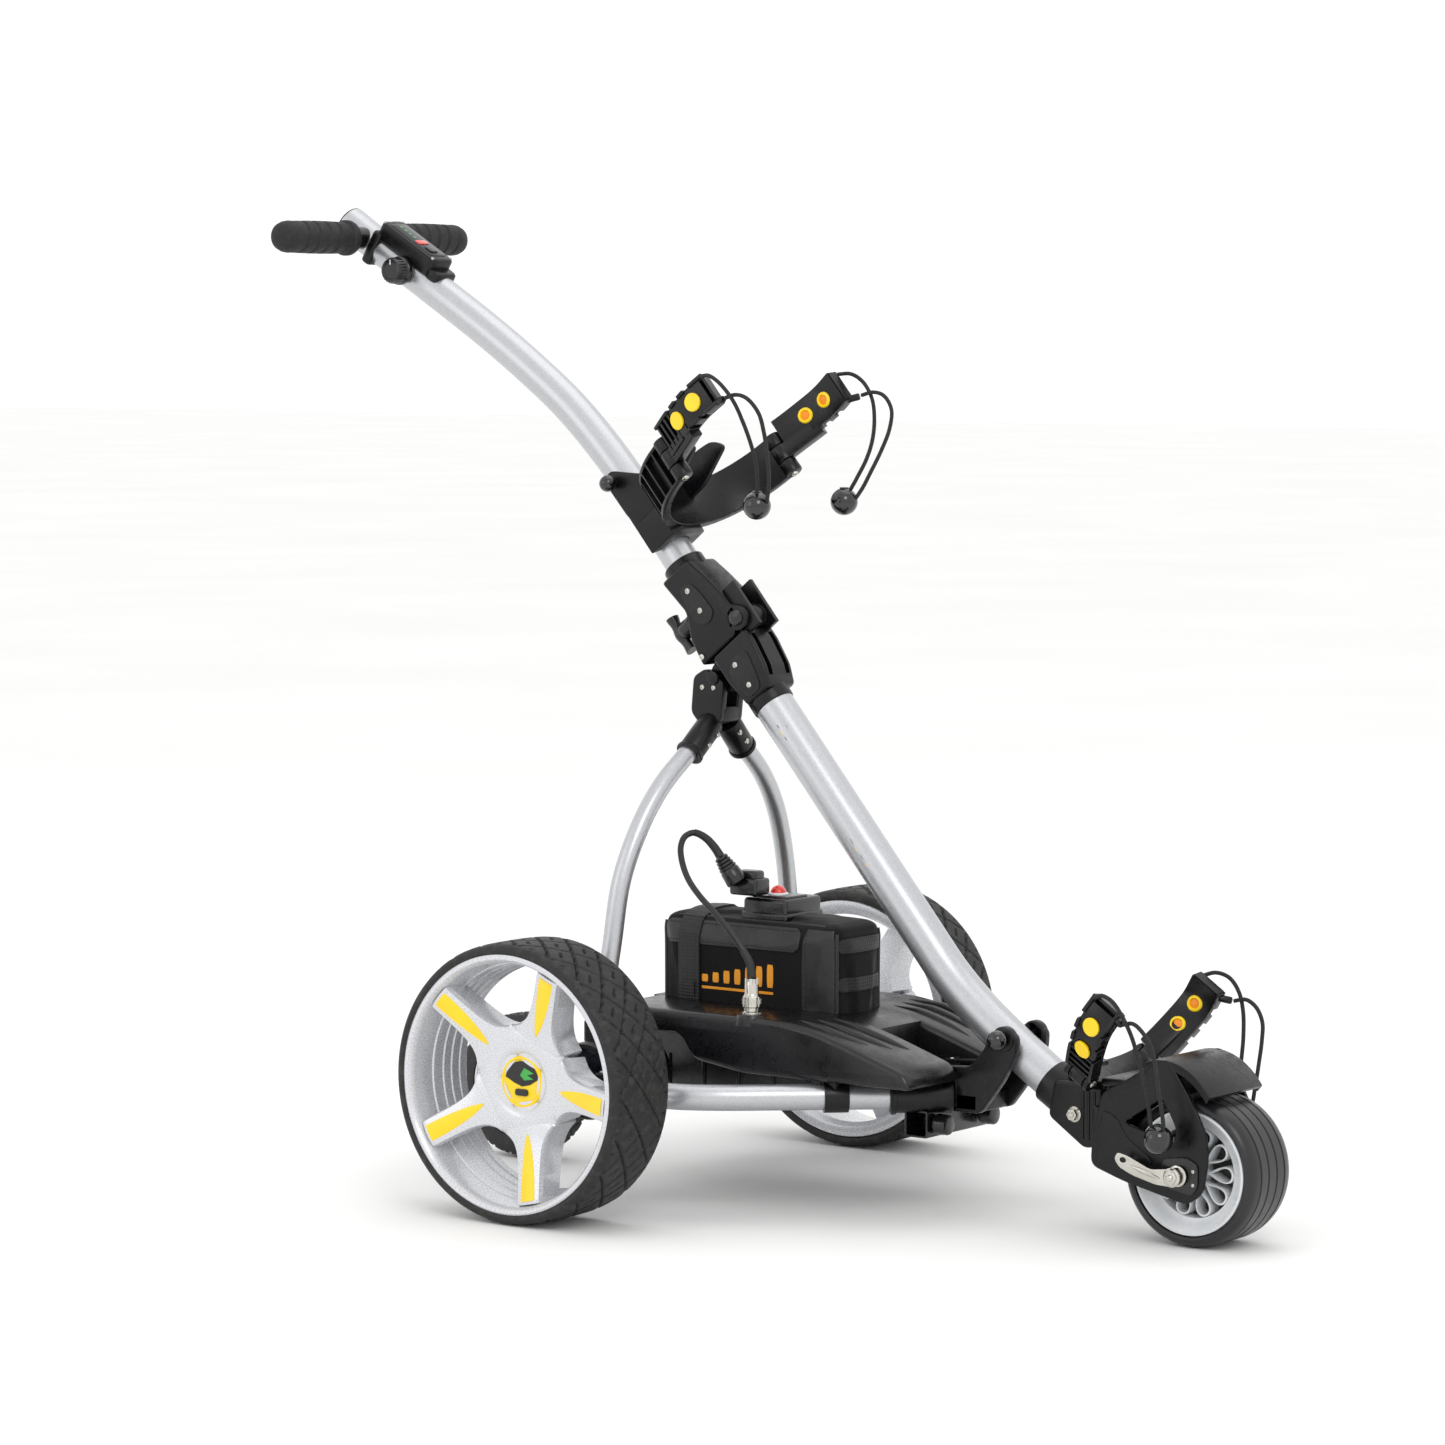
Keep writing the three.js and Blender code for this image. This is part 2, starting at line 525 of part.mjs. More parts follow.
// The swinging arm: an eye round the cradle's bolt and a curved box that is as wide as the cradle.
function supportArm(support, bungee) {
  const [bx, bf] = support.bolt;
  const [tx, tf] = support.tip;
  const line = [[-bx, bf], [-bx - (tx - bx) * 0.6, bf + (tf - bf) * 0.35], [-tx, bf + (tf - bf) * 0.72], [-tx + 3, tf]];
  const eye = rod(supportPoint(support, -bx, bf, -8), supportPoint(support, -bx, bf, 8), 9);
  const bore = rod(supportPoint(support, -bx, bf, -9), supportPoint(support, -bx, bf, 9), 3.5 + GAP, 8);
  const root = crossPlate(support, band([[-bx, bf], [-bx - 3, bf + 10], [-bx - (tx - bx) * 0.5, bf + 22]], ARM_THICKNESS), -8, 8);
  const [from, to] = support.blade;
  const blade = crossPlate(support, band(line, ARM_THICKNESS), from, to);
  const clear = rod(supportPoint(support, -bx, bf, from - 1), supportPoint(support, -bx, bf, to + 1), 13);
  return cut(join(cut(blade, clear), root, eye), bore, cordRoom(bungee));
}

// A loop of elastic cord from the arm's tip, through a ball and back.
function bungeeLoop(points) {
  return pipe(spline(...points), BUNGEE.radius, 0, BUNGEE.steps, 8);
}

const cordRoom = (points) => pipe(spline(...points), BUNGEE.radius + GAP, 0, BUNGEE.steps, 8);

const UPPER_BUNGEE = [
  point(-109, -72, 762.5), point(-113, -84, 763), point(-114, -97, 756), point(-111, -110, 740), point(-105, -117, 720),
  point(-97, -120, 700), point(-88, -119, 682), point(-79, -114, 664), point(-73, -110, 650), point(-71, -117, 646),
  point(-75, -123, 655), point(-82, -129, 672), point(-92, -134, 692), point(-101, -137, 712), point(-107, -135, 730),
  point(-110, -124, 743), point(-110, -112, 746), point(-109, -99.5, 743),
];
const LOWER_BUNGEE = [
  point(-92, -488, 224), point(-97, -499, 227), point(-100, -511, 223), point(-100, -521, 211), point(-96, -528, 194),
  point(-90, -532, 172), point(-83, -534, 150), point(-77, -535, 128), point(-74, -537, 110), point(-73, -544, 106),
  point(-76, -549, 113), point(-81, -550, 130), point(-87, -550, 150), point(-92, -550, 170), point(-96, -548, 186),
  point(-98, -540, 199), point(-97, -530, 205), point(-95, -519, 203),
];

function ball(centre, bungee) {
  const sphere = new THREE.SphereGeometry(13, 12, 8);
  sphere.translate(centre.x, centre.y, centre.z);
  return cut(solid(sphere), cordRoom(bungee));
}

// Saddle that clamps the upper cradle to the tube.
// The clamp knob sits high on the right one of two cheeks beside the tube.
const CLAMP_KNOB = { front: -2, along: -54 };
const CLAMP_CHEEK = [[104, 660], [98, 671], [60, 669], [46, 676], [30, 690], [12, 700], [20, 658], [46, 636], [64, 621],
  [75, 627]];

function upperCradle(tube) {
  const band = cradle(UPPER_SUPPORT, 26);
  const cheeks = join(sidePlate(CLAMP_CHEEK, -25, -20), sidePlate(CLAMP_CHEEK, 20, 25));
  const { front, along } = CLAMP_KNOB;
  const saddle = crossPlate(UPPER_SUPPORT, [[-25, -8], [-25, 24], [-14, 30], [14, 30], [25, 24], [25, -8]], -30, 26);
  const hole = rod(supportPoint(UPPER_SUPPORT, -40, front, along), supportPoint(UPPER_SUPPORT, -18, front, along),
    3 + GAP, 12);
  return cut(join(band, saddle, cheeks), tube, hole);
}

// The lower cradle stands on a foot on top of the front clamp.
function lowerCradle(tube) {
  const foot = sidePlate([[-450, CLAMP_TOP + GAP], [-412, CLAMP_TOP + GAP], [-424, 148], [-452, 146]], -18, 18);
  const clampRoom = block([-24, -460, 100], [24, -390, CLAMP_TOP + GAP]);
  return cut(join(cradle(LOWER_SUPPORT, 42), foot), clampRoom, tube);
}

function upperClampKnob() {
  const { front, along } = CLAMP_KNOB;
  const shank = rod(supportPoint(UPPER_SUPPORT, -20, front, along), supportPoint(UPPER_SUPPORT, -30, front, along), 3, 12);
  const head = new THREE.SphereGeometry(8, 12, 8);
  const centre = supportPoint(UPPER_SUPPORT, -34, front, along);
  head.translate(centre.x, centre.y, centre.z);
  return join(shank, solid(head));
}

// ---------- front end ----------
function frontClamp(tube) {
  const body = sidePlate([[-402, CLAMP_TOP], [-452, CLAMP_TOP], [-456, 80], [-434, 76], [-396, 102]],
    -HINGE_HALF_WIDTH, HINGE_HALF_WIDTH);
  return cut(body, tube);
}

// Two cheeks joined by a rear wall and an arched crown over the wheel.
function frontFork() {
  const cheek = [[-468, 134], [-458, 92], [-456.5, 67], [-490, 56], [-556, 41], [-571, 52], [-576, 80], [-575, 103],
    [-558, 136], [-536, 168], [-524, 166], [-492, 146]];
  const window = [[-490, 108], [-526, 131], [-531, 132], [-545, 107], [-542, 93]];
  const side = (x0, x1) => sidePlate(cheek, x0, x1, [window]);
  const wall = block([-46, -466, 72], [46, -456.5, 120], 2);
  const crown = [];
  const crownSteps = 6;
  for (let i = 0; i <= crownSteps; i++) {
    const angle = THREE.MathUtils.degToRad(-15 + (63 * i) / crownSteps);
    crown.push([FRONT_WHEEL.y + 20 - 88 * Math.sin(angle) * 0.75, FRONT_WHEEL.z + 12 + 88 * Math.cos(angle)]);
  }
  const inner = crown.map(([y, z]) => [y + 1, z - 5]).reverse();
  const arch = sidePlate([...crown, ...inner], -46, 46);
  const tie = block([-46, -500, 138], [46, -466, 146], 2);
  const axleHole = rodX(-60, 60, FRONT_WHEEL.y, FRONT_WHEEL.z, 4 + GAP);
  return cut(join(side(-47, -42), side(42, 47), wall, arch, tie), axleHole);
}

function frontAxle() {
  const { y, z } = FRONT_WHEEL;
  return join(rodX(-57, 52, y, z, 4), rodX(47 + GAP, 55, y, z, 8, 20), rodX(-51, -47 - GAP, y, z, 9, 20));
}

// The quick-release lever sits on the axle's end and lies along the fork.
function quickReleaseLever() {
  const { y, z } = FRONT_WHEEL;
  const hub = rodX(-66, -51 - GAP, y, z, 8, 20);
  const arm = spline(point(-61, y, z), point(-62, y + 14, z - 3), point(-62, y + 34, z + 3), point(-60, y + 54, z + 12));
  return cut(join(hub, pipe(arm, 4, 0, 12, 10)), rodX(-57 - GAP, -40, y, z, 4 + GAP));
}

// ---------- handle ----------
function handleBar() {
  const { y, z } = HANDLE_BAR;
  return rodX(-134, 134, y, z, TUBE.bar);
}

function grip() {
  const { radius, innerX, outerX } = GRIP;
  const bore = TUBE.bar + GAP;
  const profile = [[bore, -(innerX + 4)], [radius + 1.5, -(innerX + 4)], [radius + 1.5, -(innerX + 10)], [radius, -(innerX + 12)],
    [radius, -(outerX - 5)], [radius - 2, -(outerX - 1.5)], [radius - 5, -outerX], [0, -outerX], [0, -135], [bore, -135],
    [bore, -(innerX + 4)]];
  return turned(profile, 28).translate([0, HANDLE_BAR.y, HANDLE_BAR.z]);
}

function console_(tube) {
  const along = point(0, 414 - 337, 893 - 847).normalize();
  const up = point(0, -along.z, along.y);
  const shape = new RoundedBoxGeometry(34, 78, 20, 1, 4);
  shape.applyMatrix4(new THREE.Matrix4().makeBasis(point(1, 0, 0), along, up));
  const centre = point(0, 367, 865).addScaledVector(up, 20);
  shape.translate(centre.x, centre.y, centre.z);
  return cut(solid(shape), tube);
}

function speedKnob() {
  const skirt = rodX(-24, -TUBE.upper - 2, 358, 861, 14, 28);
  return join(skirt, rodX(-36, -24, 358, 861, 12.5, 28));
}

// ---------- assembly ----------
const trolley = new THREE.Group();
trolley.position.set(0, AXLE_SHIFT_Y, 0);

const add = (name, manifold, material) => trolley.add(piece(name, manifold, material));
const addPair = (name, manifold, material) => {
  add(`${name}_right`, manifold, material);
  add(`${name}_left`, mirrored(manifold), material);
};

// Main tube, hinge and handle
const lowerTube = pipe(lowerCurve(), TUBE.lower, TUBE.lower - WALL, 9, 16);
const upperTube = pipe(upperCurve(), TUBE.upper, TUBE.upper - WALL, 11, 16);
const lowerClear = pipe(lowerCurve(), TUBE.lower + GAP, 0, 9, 16);
const upperClear = pipe(upperCurve(), TUBE.upper + GAP, 0, 11, 16);
const pivotHole = rodX(-30, 30, BRACKET_PIVOT.y, BRACKET_PIVOT.z, 5 + GAP);
const barHole = rodX(-30, 30, HANDLE_BAR.y, HANDLE_BAR.z, TUBE.bar + GAP);
add("lower_tube", cut(lowerTube, pivotHole), silver);
add("upper_tube", cut(upperTube, barHole), silver);
add("hinge_lower_shell", hingeLowerShell(lowerClear), black);
add("hinge_upper_shell", hingeUpperShell(upperClear), black);
add("hinge_pin", hingePin(), steel);
add("hinge_knob", hingeKnob(), black);
add("handle_bar", handleBar(), black);
addPair("handle_grip", grip(), rubber);
add("control_console", console_(upperClear), black);
add("speed_knob", speedKnob(), black);

// Rear legs
add("y_connector", yConnector(), black);
addPair("wishbone_tube", pipe(legCurve(), TUBE.leg, TUBE.leg - WALL, LEG_STEPS, 14), silver);

// Bag supports
add("upper_cradle", upperCradle(upperClear), black);
add("upper_clamp_knob", upperClampKnob(), gloss);
addPair("upper_arm", supportArm(UPPER_SUPPORT, UPPER_BUNGEE), grey);
addPair("upper_bungee", bungeeLoop(UPPER_BUNGEE), cordBlack);
addPair("upper_ball", ball(point(-70, -107, 644), UPPER_BUNGEE), gloss);
add("lower_cradle", lowerCradle(lowerClear), black);
addPair("lower_arm", supportArm(LOWER_SUPPORT, LOWER_BUNGEE), grey);
addPair("lower_bungee", bungeeLoop(LOWER_BUNGEE), cordBlack);
addPair("lower_ball", ball(point(-71, -541, 101), LOWER_BUNGEE), gloss);

// Chassis
addPair("chassis_tube", pipe(chassisCurve(), TUBE.chassis, TUBE.chassis - WALL, CHASSIS_STEPS, 16), silver);
addPair("motor_housing", motorHousing(), silver);
addPair("motor", motor(), steel);
addPair("rear_axle", rearAxle(), steel);
add("anti_tip_arm", antiTipArm(), silver);
add("chassis_bracket", chassisBracket(), black);
add("bracket_pivot_bolt", bracketPivotBolt(), gloss);
add("accessory_receiver", accessoryReceiver(), black);
add("receiver_knob_right", receiverKnob(-38), black);
add("receiver_knob_left", receiverKnob(38), black);
add("battery_tray", batteryTray(), black);
add("battery_pack", batteryPack(), neoprene);
add("battery_lead", batteryLead(), cordBlack);
add("lead_plug", leadPlug(), black);
add("lead_connector", leadConnector(), steel);

// Front end
add("front_clamp", frontClamp(lowerClear), black);
add("front_fork", frontFork(), black);
add("front_axle", frontAxle(), steel);
add("quick_release_lever", quickReleaseLever(), steel);

// Wheels
function wheelGroup(x, y, z) {
  const group = new THREE.Group();
  group.position.set(x, y, z);
  trolley.add(group);
  return group;
}
const rearCentreX = REAR_WHEEL.innerX + REAR_WHEEL.width / 2;
const rightWheel = wheelGroup(-rearCentreX, 0, REAR_WHEEL.radius);
rightWheel.add(piece("rear_tyre_right", rearTyre(), rubber));
rightWheel.add(piece("rear_rim_right", mirrored(rearRim()), silver));
const leftWheel = wheelGroup(rearCentreX, 0, REAR_WHEEL.radius);
leftWheel.add(piece("rear_tyre_left", rearTyre(), rubber));
leftWheel.add(piece("rear_rim_left", rearRim(), silver));
const frontWheel = wheelGroup(0, FRONT_WHEEL.y, FRONT_WHEEL.z);
frontWheel.add(piece("front_tyre", smallTyre(FRONT_WHEEL), rubber));
frontWheel.add(piece("front_rim", smallRim(FRONT_WHEEL, 10, 4), white));
const antiTipWheel = wheelGroup(0, ANTI_TIP.y, ANTI_TIP.z);
antiTipWheel.add(piece("anti_tip_tyre", smallTyre(ANTI_TIP), rubber));
antiTipWheel.add(piece("anti_tip_rim", smallRim(ANTI_TIP, 8, 5), silver));

export default trolley;
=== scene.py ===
"""Looks of the electric golf trolley: every visible piece, its finish, the studio and the camera.

Shapes are worked out in millimetres in the axle frame (y = 0 on the rear axle line, z = 0 on the ground,
x = 0 on the centre plane, driving towards -Y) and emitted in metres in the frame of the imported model.
"""
from dataclasses import dataclass, field
from enum import Enum
import logging
import math
from typing import Callable, Iterable, Sequence

import bmesh
import bpy
from mathutils import Matrix, Vector
from mathutils.bvhtree import BVHTree


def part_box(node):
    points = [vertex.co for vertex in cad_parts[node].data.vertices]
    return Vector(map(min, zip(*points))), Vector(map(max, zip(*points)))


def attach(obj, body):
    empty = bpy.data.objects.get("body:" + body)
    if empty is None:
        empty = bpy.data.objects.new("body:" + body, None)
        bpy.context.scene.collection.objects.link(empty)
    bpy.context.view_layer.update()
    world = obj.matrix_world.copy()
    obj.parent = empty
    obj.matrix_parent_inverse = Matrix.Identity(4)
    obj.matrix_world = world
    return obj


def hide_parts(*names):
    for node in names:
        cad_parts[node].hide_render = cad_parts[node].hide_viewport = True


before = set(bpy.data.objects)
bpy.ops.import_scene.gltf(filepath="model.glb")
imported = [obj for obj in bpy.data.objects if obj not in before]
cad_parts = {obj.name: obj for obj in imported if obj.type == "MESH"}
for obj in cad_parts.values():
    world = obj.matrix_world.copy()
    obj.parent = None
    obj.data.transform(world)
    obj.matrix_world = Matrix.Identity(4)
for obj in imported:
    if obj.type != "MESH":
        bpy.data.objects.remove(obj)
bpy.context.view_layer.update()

LOG = logging.getLogger("trolley")

Pair = tuple[float, float]
Triple = tuple[float, float, float]
Profile = Sequence[Pair]

MM = 0.001
WHEEL_LOW, WHEEL_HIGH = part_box("rear_rim_right")
AXLE_Y_M = (WHEEL_LOW[1] + WHEEL_HIGH[1]) / 2
TO_FRAME = Matrix.Translation((0, AXLE_Y_M, 0)) @ Matrix.Scale(MM, 4)

HINGE_TOP = Vector((0, 24, 578))
DOWN = Vector((0, -0.637, -0.771)).normalized()
FRONT = Vector((0, DOWN.z, -DOWN.y))
LOWER_DOWN = Vector((0, -0.829, -0.559)).normalized()
ACROSS = Matrix(((0, 0, 1, 0), (1, 0, 0, 0), (0, 1, 0, 0), (0, 0, 0, 1)))


class Side(Enum):
    """The two sides of the trolley, by the sign of X."""

    RIGHT = -1
    LEFT = 1

    @property
    def word(self) -> str:
        """The side's word in node and body names."""
        return self.name.lower()


# ---------------------------------------------------------------- scene data
def placed(name: str, data: bpy.types.ID) -> bpy.types.Object:
    """Makes an object from its data and puts it in the scene."""
    holder = bpy.data.objects.new(name, data)
    bpy.context.scene.collection.objects.link(holder)
    return holder


def evaluated(holder: bpy.types.Object) -> bpy.types.Mesh:
    """A new mesh of an object as its modifiers leave it."""
    graph = bpy.context.evaluated_depsgraph_get()
    return bpy.data.meshes.new_from_object(holder.evaluated_get(graph))


def discard(*holders: bpy.types.Object) -> None:
    """Removes objects together with their meshes."""
    for holder in holders:
        mesh = holder.data
        bpy.data.objects.remove(holder)
        bpy.data.meshes.remove(mesh)


# ---------------------------------------------------------------- shapes
def basis(u: Vector, v: Vector, w: Vector, origin: Vector) -> Matrix:
    """A frame whose local X, Y and Z run along u, v and w from an origin."""
    turn = Matrix((u, v, w)).transposed().to_4x4()
    turn.translation = origin
    return turn


def across(y: float, z: float, x: float = 0.0) -> Matrix:
    """The frame of a shape drawn in the Y-Z plane and extruded, or turned, along X."""
    return Matrix.Translation((x, y, z)) @ ACROSS


def hinge_frame() -> Matrix:
    """The frame of a shape drawn in (down, front) beside the main tube and extruded along X."""
    return basis(DOWN, FRONT, Vector((1, 0, 0)), HINGE_TOP)


def on_side(points: Iterable[Sequence[float]], side: Side) -> list[Vector]:
    """Points given for the right side, taken to either side."""
    return [Vector((x * -side.value, y, z)) for x, y, z in points]


def on_tube(x: float, down: float, front: float) -> Vector:
    """A point beside the main tube's straight part."""
    return HINGE_TOP + DOWN * down + FRONT * front + Vector((x, 0, 0))


def facing(origin: Vector, direction: Vector) -> Matrix:
    """A frame at an origin whose local Z points along a direction."""
    return Matrix.Translation(origin) @ direction.to_track_quat("Z", "Y").to_matrix().to_4x4()


class Form:
    """A closed shape in the making, in millimetres in the axle frame."""

    def __init__(self) -> None:
        """Starts with nothing in it."""
        self.mesh = bmesh.new()

    def add(self, other: "Form") -> "Form":
        """Takes another form's faces in, and gives this form back."""
        store = bpy.data.meshes.new("store")
        other.mesh.to_mesh(store)
        self.mesh.from_mesh(store)
        bpy.data.meshes.remove(store)
        return self

    def moved(self, matrix: Matrix) -> "Form":
        """Applies a matrix and gives this form back."""
        bmesh.ops.transform(self.mesh, matrix=matrix, verts=self.mesh.verts)
        return self

    def mirrored(self) -> "Form":
        """A copy on the other side of the centre plane, with its faces still pointing out."""
        copy = Form()
        copy.mesh = self.mesh.copy()
        bmesh.ops.transform(copy.mesh, matrix=Matrix.Scale(-1, 4, (1, 0, 0)), verts=copy.mesh.verts)
        bmesh.ops.reverse_faces(copy.mesh, faces=copy.mesh.faces)
        return copy

    def bent(self, rule: Callable[[Vector], Vector]) -> "Form":
        """Moves every point by a rule and gives this form back."""
        for vert in self.mesh.verts:
            vert.co = rule(vert.co)
        return self

    def bevelled(self, width: float, segments: int = 2, angle: float = 30.0) -> "Form":
        """Rounds the edges that are sharper than an angle in degrees."""
        limit = math.radians(angle)
        edges = [e for e in self.mesh.edges if len(e.link_faces) == 2 and e.calc_face_angle(0) > limit]
        bmesh.ops.bevel(self.mesh, geom=edges, offset=width, segments=segments, profile=0.5, affect="EDGES",
                        clamp_overlap=True)
        return self

    def outward(self) -> "Form":
        """Welds doubles and turns every face outwards."""
        bmesh.ops.remove_doubles(self.mesh, verts=self.mesh.verts, dist=1e-3)
        bmesh.ops.recalc_face_normals(self.mesh, faces=self.mesh.faces)
        return self


def box(low: Sequence[float], high: Sequence[float], radius: float = 1.0, segments: int = 2) -> Form:
    """A box between two corners with rounded edges."""
    form = Form()
    size = [h - l for l, h in zip(low, high)]
    middle = [(h + l) / 2 for l, h in zip(low, high)]
    bmesh.ops.create_cube(form.mesh, size=1.0)
    form.moved(Matrix.Translation(middle) @ Matrix.Diagonal((*size, 1)))
    return form.bevelled(min(radius, min(size) * 0.45), segments)


def lathe(profile: Profile, place: Matrix, segments: int = 48) -> Form:
    """Turns a profile of (radius, along) pairs about the local Z axis.

    Args:
        profile: the pairs in order; it starts and ends on the axis, or closes on itself.
        place: takes the local axis to its place.
        segments: the number of steps around.
    """
    form = Form()
    rings = []
    for radius, along in profile:
        if radius < 1e-6:
            rings.append([form.mesh.verts.new((0, 0, along))])
            continue
        turn = [2 * math.pi * i / segments for i in range(segments)]
        rings.append([form.mesh.verts.new((radius * math.cos(a), radius * math.sin(a), along)) for a in turn])
    closed = profile[0][0] > 1e-6
    pairs = list(zip(rings, rings[1:] + rings[:1])) if closed else list(zip(rings, rings[1:]))
    for first, second in pairs:
        for i in range(segments):
            j = (i + 1) % segments
            corners = [first[i % len(first)], first[j % len(first)], second[j % len(second)],
                       second[i % len(second)]]
            unique = list(dict.fromkeys(corners))
            if len(unique) > 2:
                form.mesh.faces.new(unique)
    return form.moved(place).outward()


def rounded_rod(start: Vector, end: Vector, radius: float, edge: float = 1.0, segments: int = 32) -> Form:
    """A round rod between two points with softened ends."""
    length = (end - start).length
    e = min(edge, radius * 0.4, length * 0.4)
    k = e * 0.3
    profile = [(0, 0), (radius - e, 0), (radius - k, k), (radius, e), (radius, length - e),
               (radius - k, length - k), (radius - e, length), (0, length)]
    return lathe(profile, facing(start, end - start), segments)


def sweep(points: Sequence[Vector], radius: float | Callable[[float], float], sides: int = 24) -> Form:
    """A round tube along points, with flat closed ends and no twist.

    Args:
        points: the centre line, in order.
        radius: one radius, or a rule from the share of the way along to the radius.
        sides: the number of sides of the section.
    """
    form = Form()
    rule = radius if callable(radius) else (lambda share: radius)
    rings = []
    normal = None
    count = len(points)
    for i, point in enumerate(points):
        tangent = (points[min(i + 1, count - 1)] - points[max(i - 1, 0)]).normalized()
        if normal is None:
            normal = tangent.orthogonal().normalized()
        normal = (normal - tangent * normal.dot(tangent)).normalized()
        other = tangent.cross(normal)
        r = rule(i / (count - 1))
        turn = [2 * math.pi * k / sides for k in range(sides)]
        rings.append([form.mesh.verts.new(point + (normal * math.cos(a) + other * math.sin(a)) * r)
                      for a in turn])
    uv = form.mesh.loops.layers.uv.new("UVMap")
    travelled = [0.0]
    for first, second in zip(points, points[1:]):
        travelled.append(travelled[-1] + (second - first).length)
    for k in range(count - 1):
        for i in range(sides):
            j = (i + 1) % sides
            face = form.mesh.faces.new((rings[k][i], rings[k][j], rings[k + 1][j], rings[k + 1][i]))
            spots = ((i, k), (i + 1, k), (i + 1, k + 1), (i, k + 1))
            for loop, (side, step) in zip(face.loops, spots):
                loop[uv].uv = (side / sides, travelled[step] / 10)
    form.mesh.faces.new(list(reversed(rings[0])))
    form.mesh.faces.new(rings[-1])
    bmesh.ops.recalc_face_normals(form.mesh, faces=form.mesh.faces)
    return form


def smooth_path(points: Sequence[Vector], steps: int) -> list[Vector]:
    """Evenly spaced points on the centripetal Catmull-Rom curve through the given points."""
    knots = [points[0] * 2 - points[1], *points, points[-1] * 2 - points[-2]]
    dense = []
    for a, b, c, d in zip(knots, knots[1:], knots[2:], knots[3:]):
        t0, t1 = 0.0, max((b - a).length ** 0.5, 1e-4)
        t2 = t1 + max((c - b).length ** 0.5, 1e-4)
        t3 = t2 + max((d - c).length ** 0.5, 1e-4)
        for i in range(24):
            t = t1 + (t2 - t1) * i / 24
            a1 = a * ((t1 - t) / (t1 - t0)) + b * ((t - t0) / (t1 - t0))
            a2 = b * ((t2 - t) / (t2 - t1)) + c * ((t - t1) / (t2 - t1))
            a3 = c * ((t3 - t) / (t3 - t2)) + d * ((t - t2) / (t3 - t2))
            b1 = a1 * ((t2 - t) / (t2 - t0)) + a2 * ((t - t0) / (t2 - t0))
            b2 = a2 * ((t3 - t) / (t3 - t1)) + a3 * ((t - t1) / (t3 - t1))
            dense.append(b1 * ((t2 - t) / (t2 - t1)) + b2 * ((t - t1) / (t2 - t1)))
    dense.append(points[-1].copy())
    lengths = [0.0]
    for first, second in zip(dense, dense[1:]):
        lengths.append(lengths[-1] + (second - first).length)
    even = []
    spot = 0
    for i in range(steps + 1):
        target = lengths[-1] * i / steps
        while spot < len(dense) - 2 and lengths[spot + 1] < target:
            spot += 1
        span = max(lengths[spot + 1] - lengths[spot], 1e-9)
        even.append(dense[spot].lerp(dense[spot + 1], min(max((target - lengths[spot]) / span, 0), 1)))
    return even


def filleted(outline: Profile, radius: float, steps: int = 4) -> list[Pair]:
    """An outline with each corner rounded, by less where its sides are short."""
    result: list[Pair] = []
    count = len(outline)
    for i, here in enumerate(outline):
        p = Vector(here)
        before = Vector(outline[i - 1]) - p
        after = Vector(outline[(i + 1) % count]) - p
        reach = min(radius, before.length * 0.45, after.length * 0.45)
        start = p + before.normalized() * reach
        end = p + after.normalized() * reach
        for k in range(steps + 1):
            t = k / steps
            spot = start * (1 - t) ** 2 + p * (2 * t * (1 - t)) + end * t**2
            result.append((spot.x, spot.y))
    return result


def prism(outline: Profile, low: float, high: float, place: Matrix, edge: float = 0.8,
          holes: Iterable[Profile] = ()) -> Form:
    """Extrudes a flat outline with holes between two heights, with rounded rims.

    Args:
        outline: the outer points in the local X-Y plane.
        low: the lower height along local Z.
        high: the upper height along local Z.
        place: takes the local frame to its place.
        edge: the radius of the rims.
        holes: outlines that are cut through.
    """
    curve = bpy.data.curves.new("outline", "CURVE")
    curve.dimensions = "2D"
    curve.fill_mode = "BOTH"
    curve.extrude = (high - low) / 2 - edge
    curve.bevel_depth = edge
    curve.bevel_resolution = 2
    curve.offset = -edge
    for ring in (outline, *holes):
        spline = curve.splines.new("POLY")
        spline.points.add(len(ring) - 1)
        for point, (u, v) in zip(spline.points, ring):
            point.co = (u, v, 0, 1)
        spline.use_cyclic_u = True
    holder = placed("outline", curve)
    flat = evaluated(holder)
    form = Form()
    form.mesh.from_mesh(flat)
    bpy.data.objects.remove(holder)
    bpy.data.curves.remove(curve)
    bpy.data.meshes.remove(flat)
    form.moved(Matrix.Translation((0, 0, (low + high) / 2)))
    return form.moved(place).outward()


def ball(centre: Vector, radius: float, detail: int = 24) -> Form:
    """A sphere built from turned rings."""
    profile = [(radius * math.sin(math.pi * i / detail), -radius * math.cos(math.pi * i / detail))
               for i in range(detail + 1)]
    profile[0] = (0, -radius)
    profile[-1] = (0, radius)
    return lathe(profile, Matrix.Translation(centre), detail * 2)


def carve(form: Form, *tools: Form) -> Form:
    """Cuts tools out of a form and gives back a new one."""
    for tool in tools:
        target, cutter = (placed(name, bpy.data.meshes.new(name)) for name in ("target", "cutter"))
        form.mesh.to_mesh(target.data)
        tool.mesh.to_mesh(cutter.data)
        cut = target.modifiers.new("cut", "BOOLEAN")
        cut.operation = "DIFFERENCE"
        cut.solver = "EXACT"
        cut.object = cutter
        result = evaluated(target)
        form = Form()
        form.mesh.from_mesh(result)
        bpy.data.meshes.remove(result)
        discard(target, cutter)
    return form


def both_sides(outline: Profile, near: float, far: float, edge: float, holes: Sequence[Profile] = (),
               place: Matrix = ACROSS) -> Form:
    """The same plate on both sides of the centre plane, between two distances from it."""
    form = Form()
    for x in (-1, 1):
        low, high = sorted((x * near, x * far))
        form.add(prism(outline, low, high, place, edge, holes))
    return form


def side_box(x: int, low: Sequence[float], high: Sequence[float], radius: float, segments: int) -> Form:
    """A box on one side of the centre plane: x is -1 for the right and 1 for the left."""
    first, last = sorted((x * low[0], x * high[0]))
    return box((first, *low[1:]), (last, *high[1:]), radius, segments)


